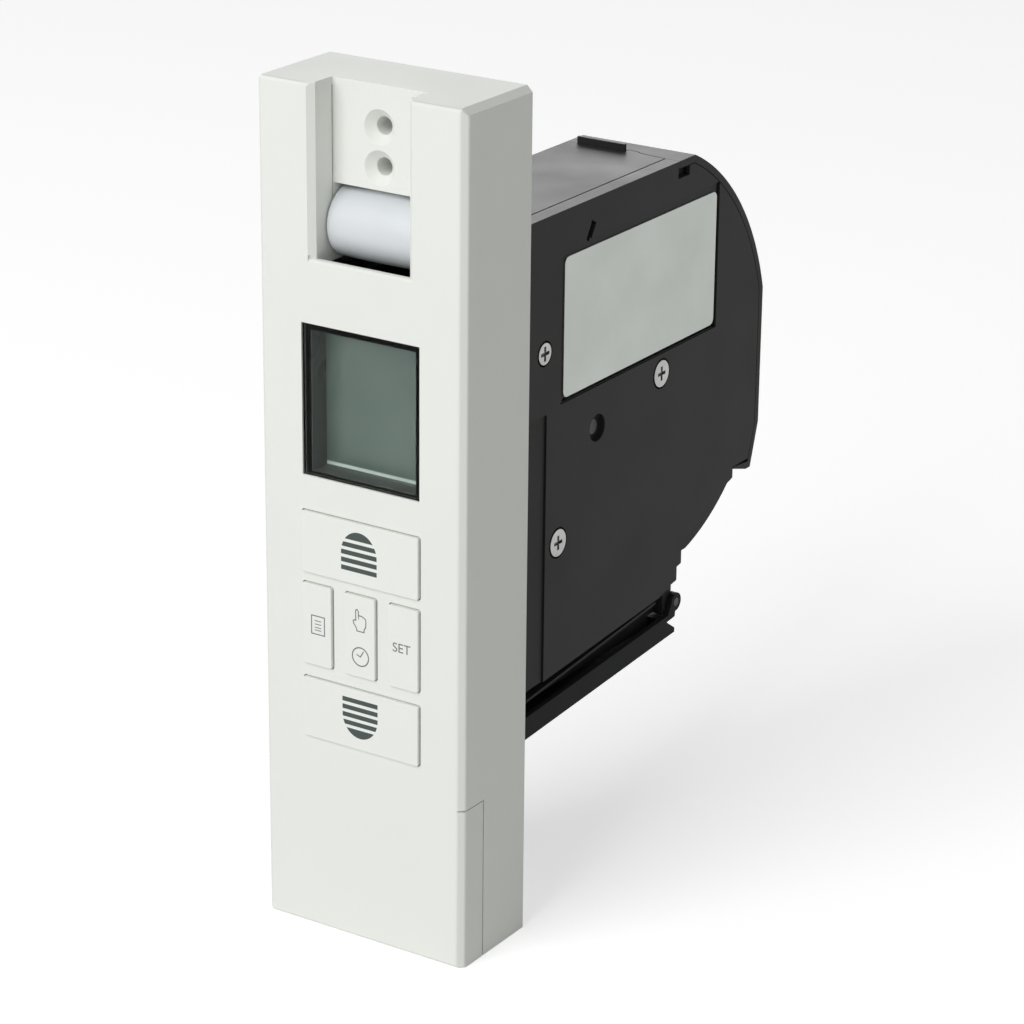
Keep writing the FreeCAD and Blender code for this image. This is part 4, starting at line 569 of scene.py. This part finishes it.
# Bars cut to an arch: half width = half times the root of 1 less the squared share of the rise
def archBars():
    top = shutter["foot"] + shutter["rise"]
    lows = shutter["bottom"] + shutter["pitch"] * np.arange(shutter["bars"])
    bars = []
    for low, high in zip(lows, [*(lows[:-1] + shutter["bar"]), top]):
        z = low + (high - low) * np.linspace(0, 1, shutter["steps"]) ** shutter["ease"]
        share = np.clip((z - shutter["foot"]) / shutter["rise"], 0, 1)
        half = shutter["half"] * np.sqrt(1 - share ** 2)
        right, left = np.stack([half, z], 1), np.stack([-half, z], 1)[::-1]
        bars.append(np.concatenate([right, left[1:] if high == top else left]))
    return bars


upBars = archBars()
downBars = [(bar * (1, -1) + (shutter["downShift"], shutter["downTop"] + shutter["bottom"]))[::-1]
            for bar in upBars]
printed("print_up", slabs, upBars, "key_up", darkInk)
printed("print_down", slabs, downBars, "key_down", darkInk)

page = {"corners": [(-14.55, 81.7), (-10.6, 81.7), (-10.6, 86.6), (-14.55, 86.6)],
        "lineLeft": -13.6, "lineRight": -11.6, "lines": (85.3, 84.4, 83.5, 82.8)}
pageLines = [ribbon(page["corners"], prints["line"], True)]
pageLines += [ribbon([(page["lineLeft"], z), (page["lineRight"], z)], prints["fineLine"])
              for z in page["lines"]]
printed("print_menu", lineBars, pageLines, "key_menu", thinInk)

hand = {
    "outline": [(-1.0, 88.3), (-1.05, 90.9), (-0.65, 91.3), (-0.25, 90.9), (-0.2, 89.7),
                (0.6, 89.75), (1.3, 89.5), (1.95, 89.1), (2.05, 88.2), (1.95, 87.0),
                (1.5, 86.3), (1.45, 85.55), (-0.7, 85.55), (-0.85, 86.3), (-1.65, 87.4),
                (-1.8, 88.1), (-1.45, 88.35)],
    "crease": [(-0.2, 89.7), (-0.1, 88.7)],
}
clock = {"centre": (0.33, 78.75), "radius": 2.45, "steps": 48, "longHand": (1.3, 80.4),
         "shortHand": (-0.85, 79.2)}
turn = np.arange(clock["steps"]) * 2 * math.pi / clock["steps"]
dial = np.array(clock["centre"]) + clock["radius"] * np.stack([np.cos(turn), np.sin(turn)], 1)
modeLines = [
    ribbon(hand["outline"], prints["line"], True), ribbon(hand["crease"], prints["fineLine"]),
    ribbon(dial, prints["boldLine"], True),
    ribbon([clock["longHand"], clock["centre"], clock["shortHand"]], prints["line"])]
printed("print_mode", lineBars, modeLines, "key_mode", thinInk)

setWord = {"text": "SET", "size": 3.5, "left": 9.95, "base": 82.75, "thick": 0.025}
wordCurve = bpy.data.curves.new("setWord", "FONT")
wordCurve.body = setWord["text"]
wordCurve.size = setWord["size"] * mm
wordCurve.extrude = setWord["thick"] * mm
wordSource = linked("setWordSource", wordCurve)
bpy.context.view_layer.update()
wordMesh = bpy.data.meshes.new_from_object(
    wordSource.evaluated_get(bpy.context.evaluated_depsgraph_get()))
bpy.data.objects.remove(wordSource)
upright = Matrix.Rotation(math.radians(90), 4, "X")
upright.translation = (setWord["left"] * mm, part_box("key_set")[0].y,
                       setWord["base"] * mm + objectBottom)
wordMesh.transform(upright)
dressed(linked("print_set", wordMesh), thinInk, "set_key")
print("prints on the keys")

# Floor, light and camera
floorSetup = {"half": 6.0, "colour": (0.8, 0.8, 0.8), "rough": 0.9, "fill": 0.48}
floorMesh = bpy.data.meshes.new("floor")
floorMesh.from_pydata([(x * floorSetup["half"], y * floorSetup["half"], objectBottom)
                       for x, y in ((-1, -1), (1, -1), (1, 1), (-1, 1))], [], [(0, 1, 2, 3)])
linked("floor", floorMesh)


# Rays that see the floor or the room as a white studio: camera, mirror and glass rays
def studioRays(tree):
    path = tree.nodes.new("ShaderNodeLightPath")
    both = added(tree, path.outputs["Is Camera Ray"], path.outputs["Is Glossy Ray"])
    total = added(tree, both, path.outputs["Is Transmission Ray"])
    return remap(tree, total, 0, 1, 0, 1)  # no more than 1 where two of them hold


material, tree, shader = newMaterial("paleFloor")
shader.inputs["Base Color"].default_value = (*floorSetup["colour"], 1)
shader.inputs["Roughness"].default_value = floorSetup["rough"]
shader.inputs["Specular IOR Level"].default_value = 0.0
glow = tree.nodes.new("ShaderNodeMath")
glow.operation = "MULTIPLY"
glow.inputs[1].default_value = floorSetup["fill"]
tree.links.new(studioRays(tree), glow.inputs[0])
shader.inputs["Emission Color"].default_value = (1, 1, 1, 1)
tree.links.new(glow.outputs[0], shader.inputs["Emission Strength"])
floorMesh.materials.append(material)

room = {"light": 0.36, "seen": 1.0}  # strength for the object, and for the studio rays
world = bpy.data.worlds.new("studio")
bpy.context.scene.world = world
world.use_nodes = True
tree = world.node_tree
backdrop = tree.nodes["Background"]
backdrop.inputs["Color"].default_value = (1, 1, 1, 1)
tree.links.new(remap(tree, studioRays(tree), 0, 1, room["light"], room["seen"]),
               backdrop.inputs["Strength"])

lamps = {
    "keyLamp": {"place": (-0.36, -2.38, 1.60), "size": (2.0, 2.0), "power": 60,
                "glossOnly": False},
    "backLamp": {"place": (-0.97, 1.49, 0.69), "size": (1.8, 0.9), "power": 19,
                 "glossOnly": True},
}
for lampName, lamp in lamps.items():
    light = bpy.data.lights.new(lampName, "AREA")
    light.shape = "RECTANGLE"
    light.size, light.size_y = lamp["size"]
    light.energy = lamp["power"]
    lampObject = linked(lampName, light)
    lampObject.location = lamp["place"]
    lampObject.visible_diffuse = not lamp["glossOnly"]  # the back lamp only gives a sheen
    lampObject.rotation_euler = Vector(lamp["place"]).to_track_quat("Z", "Y").to_euler()

view = {
    "place": (0.47188869, -0.69005562, 0.3023066),
    "right": (0.8376456, 0.54612643, 0.00978669),
    "up": (-0.20197006, 0.29303362, 0.93452629),
    "back": (0.50750168, -0.78477845, 0.35575951),
    "lens": 125.1, "sensor": 36, "near": 0.01, "far": 50,
}
lensData = bpy.data.cameras.new("photoCamera")
lensData.lens = view["lens"]
lensData.sensor_width = view["sensor"]
lensData.sensor_fit = "HORIZONTAL"
lensData.clip_start = view["near"]
lensData.clip_end = view["far"]
camera = linked("photoCamera", lensData)
axes = Matrix((view["right"], view["up"], view["back"])).transposed().to_4x4()
axes.translation = view["place"]
camera.matrix_world = axes
bpy.context.scene.camera = camera
bpy.context.scene.view_settings.view_transform = "Standard"
print("studio and camera in place")
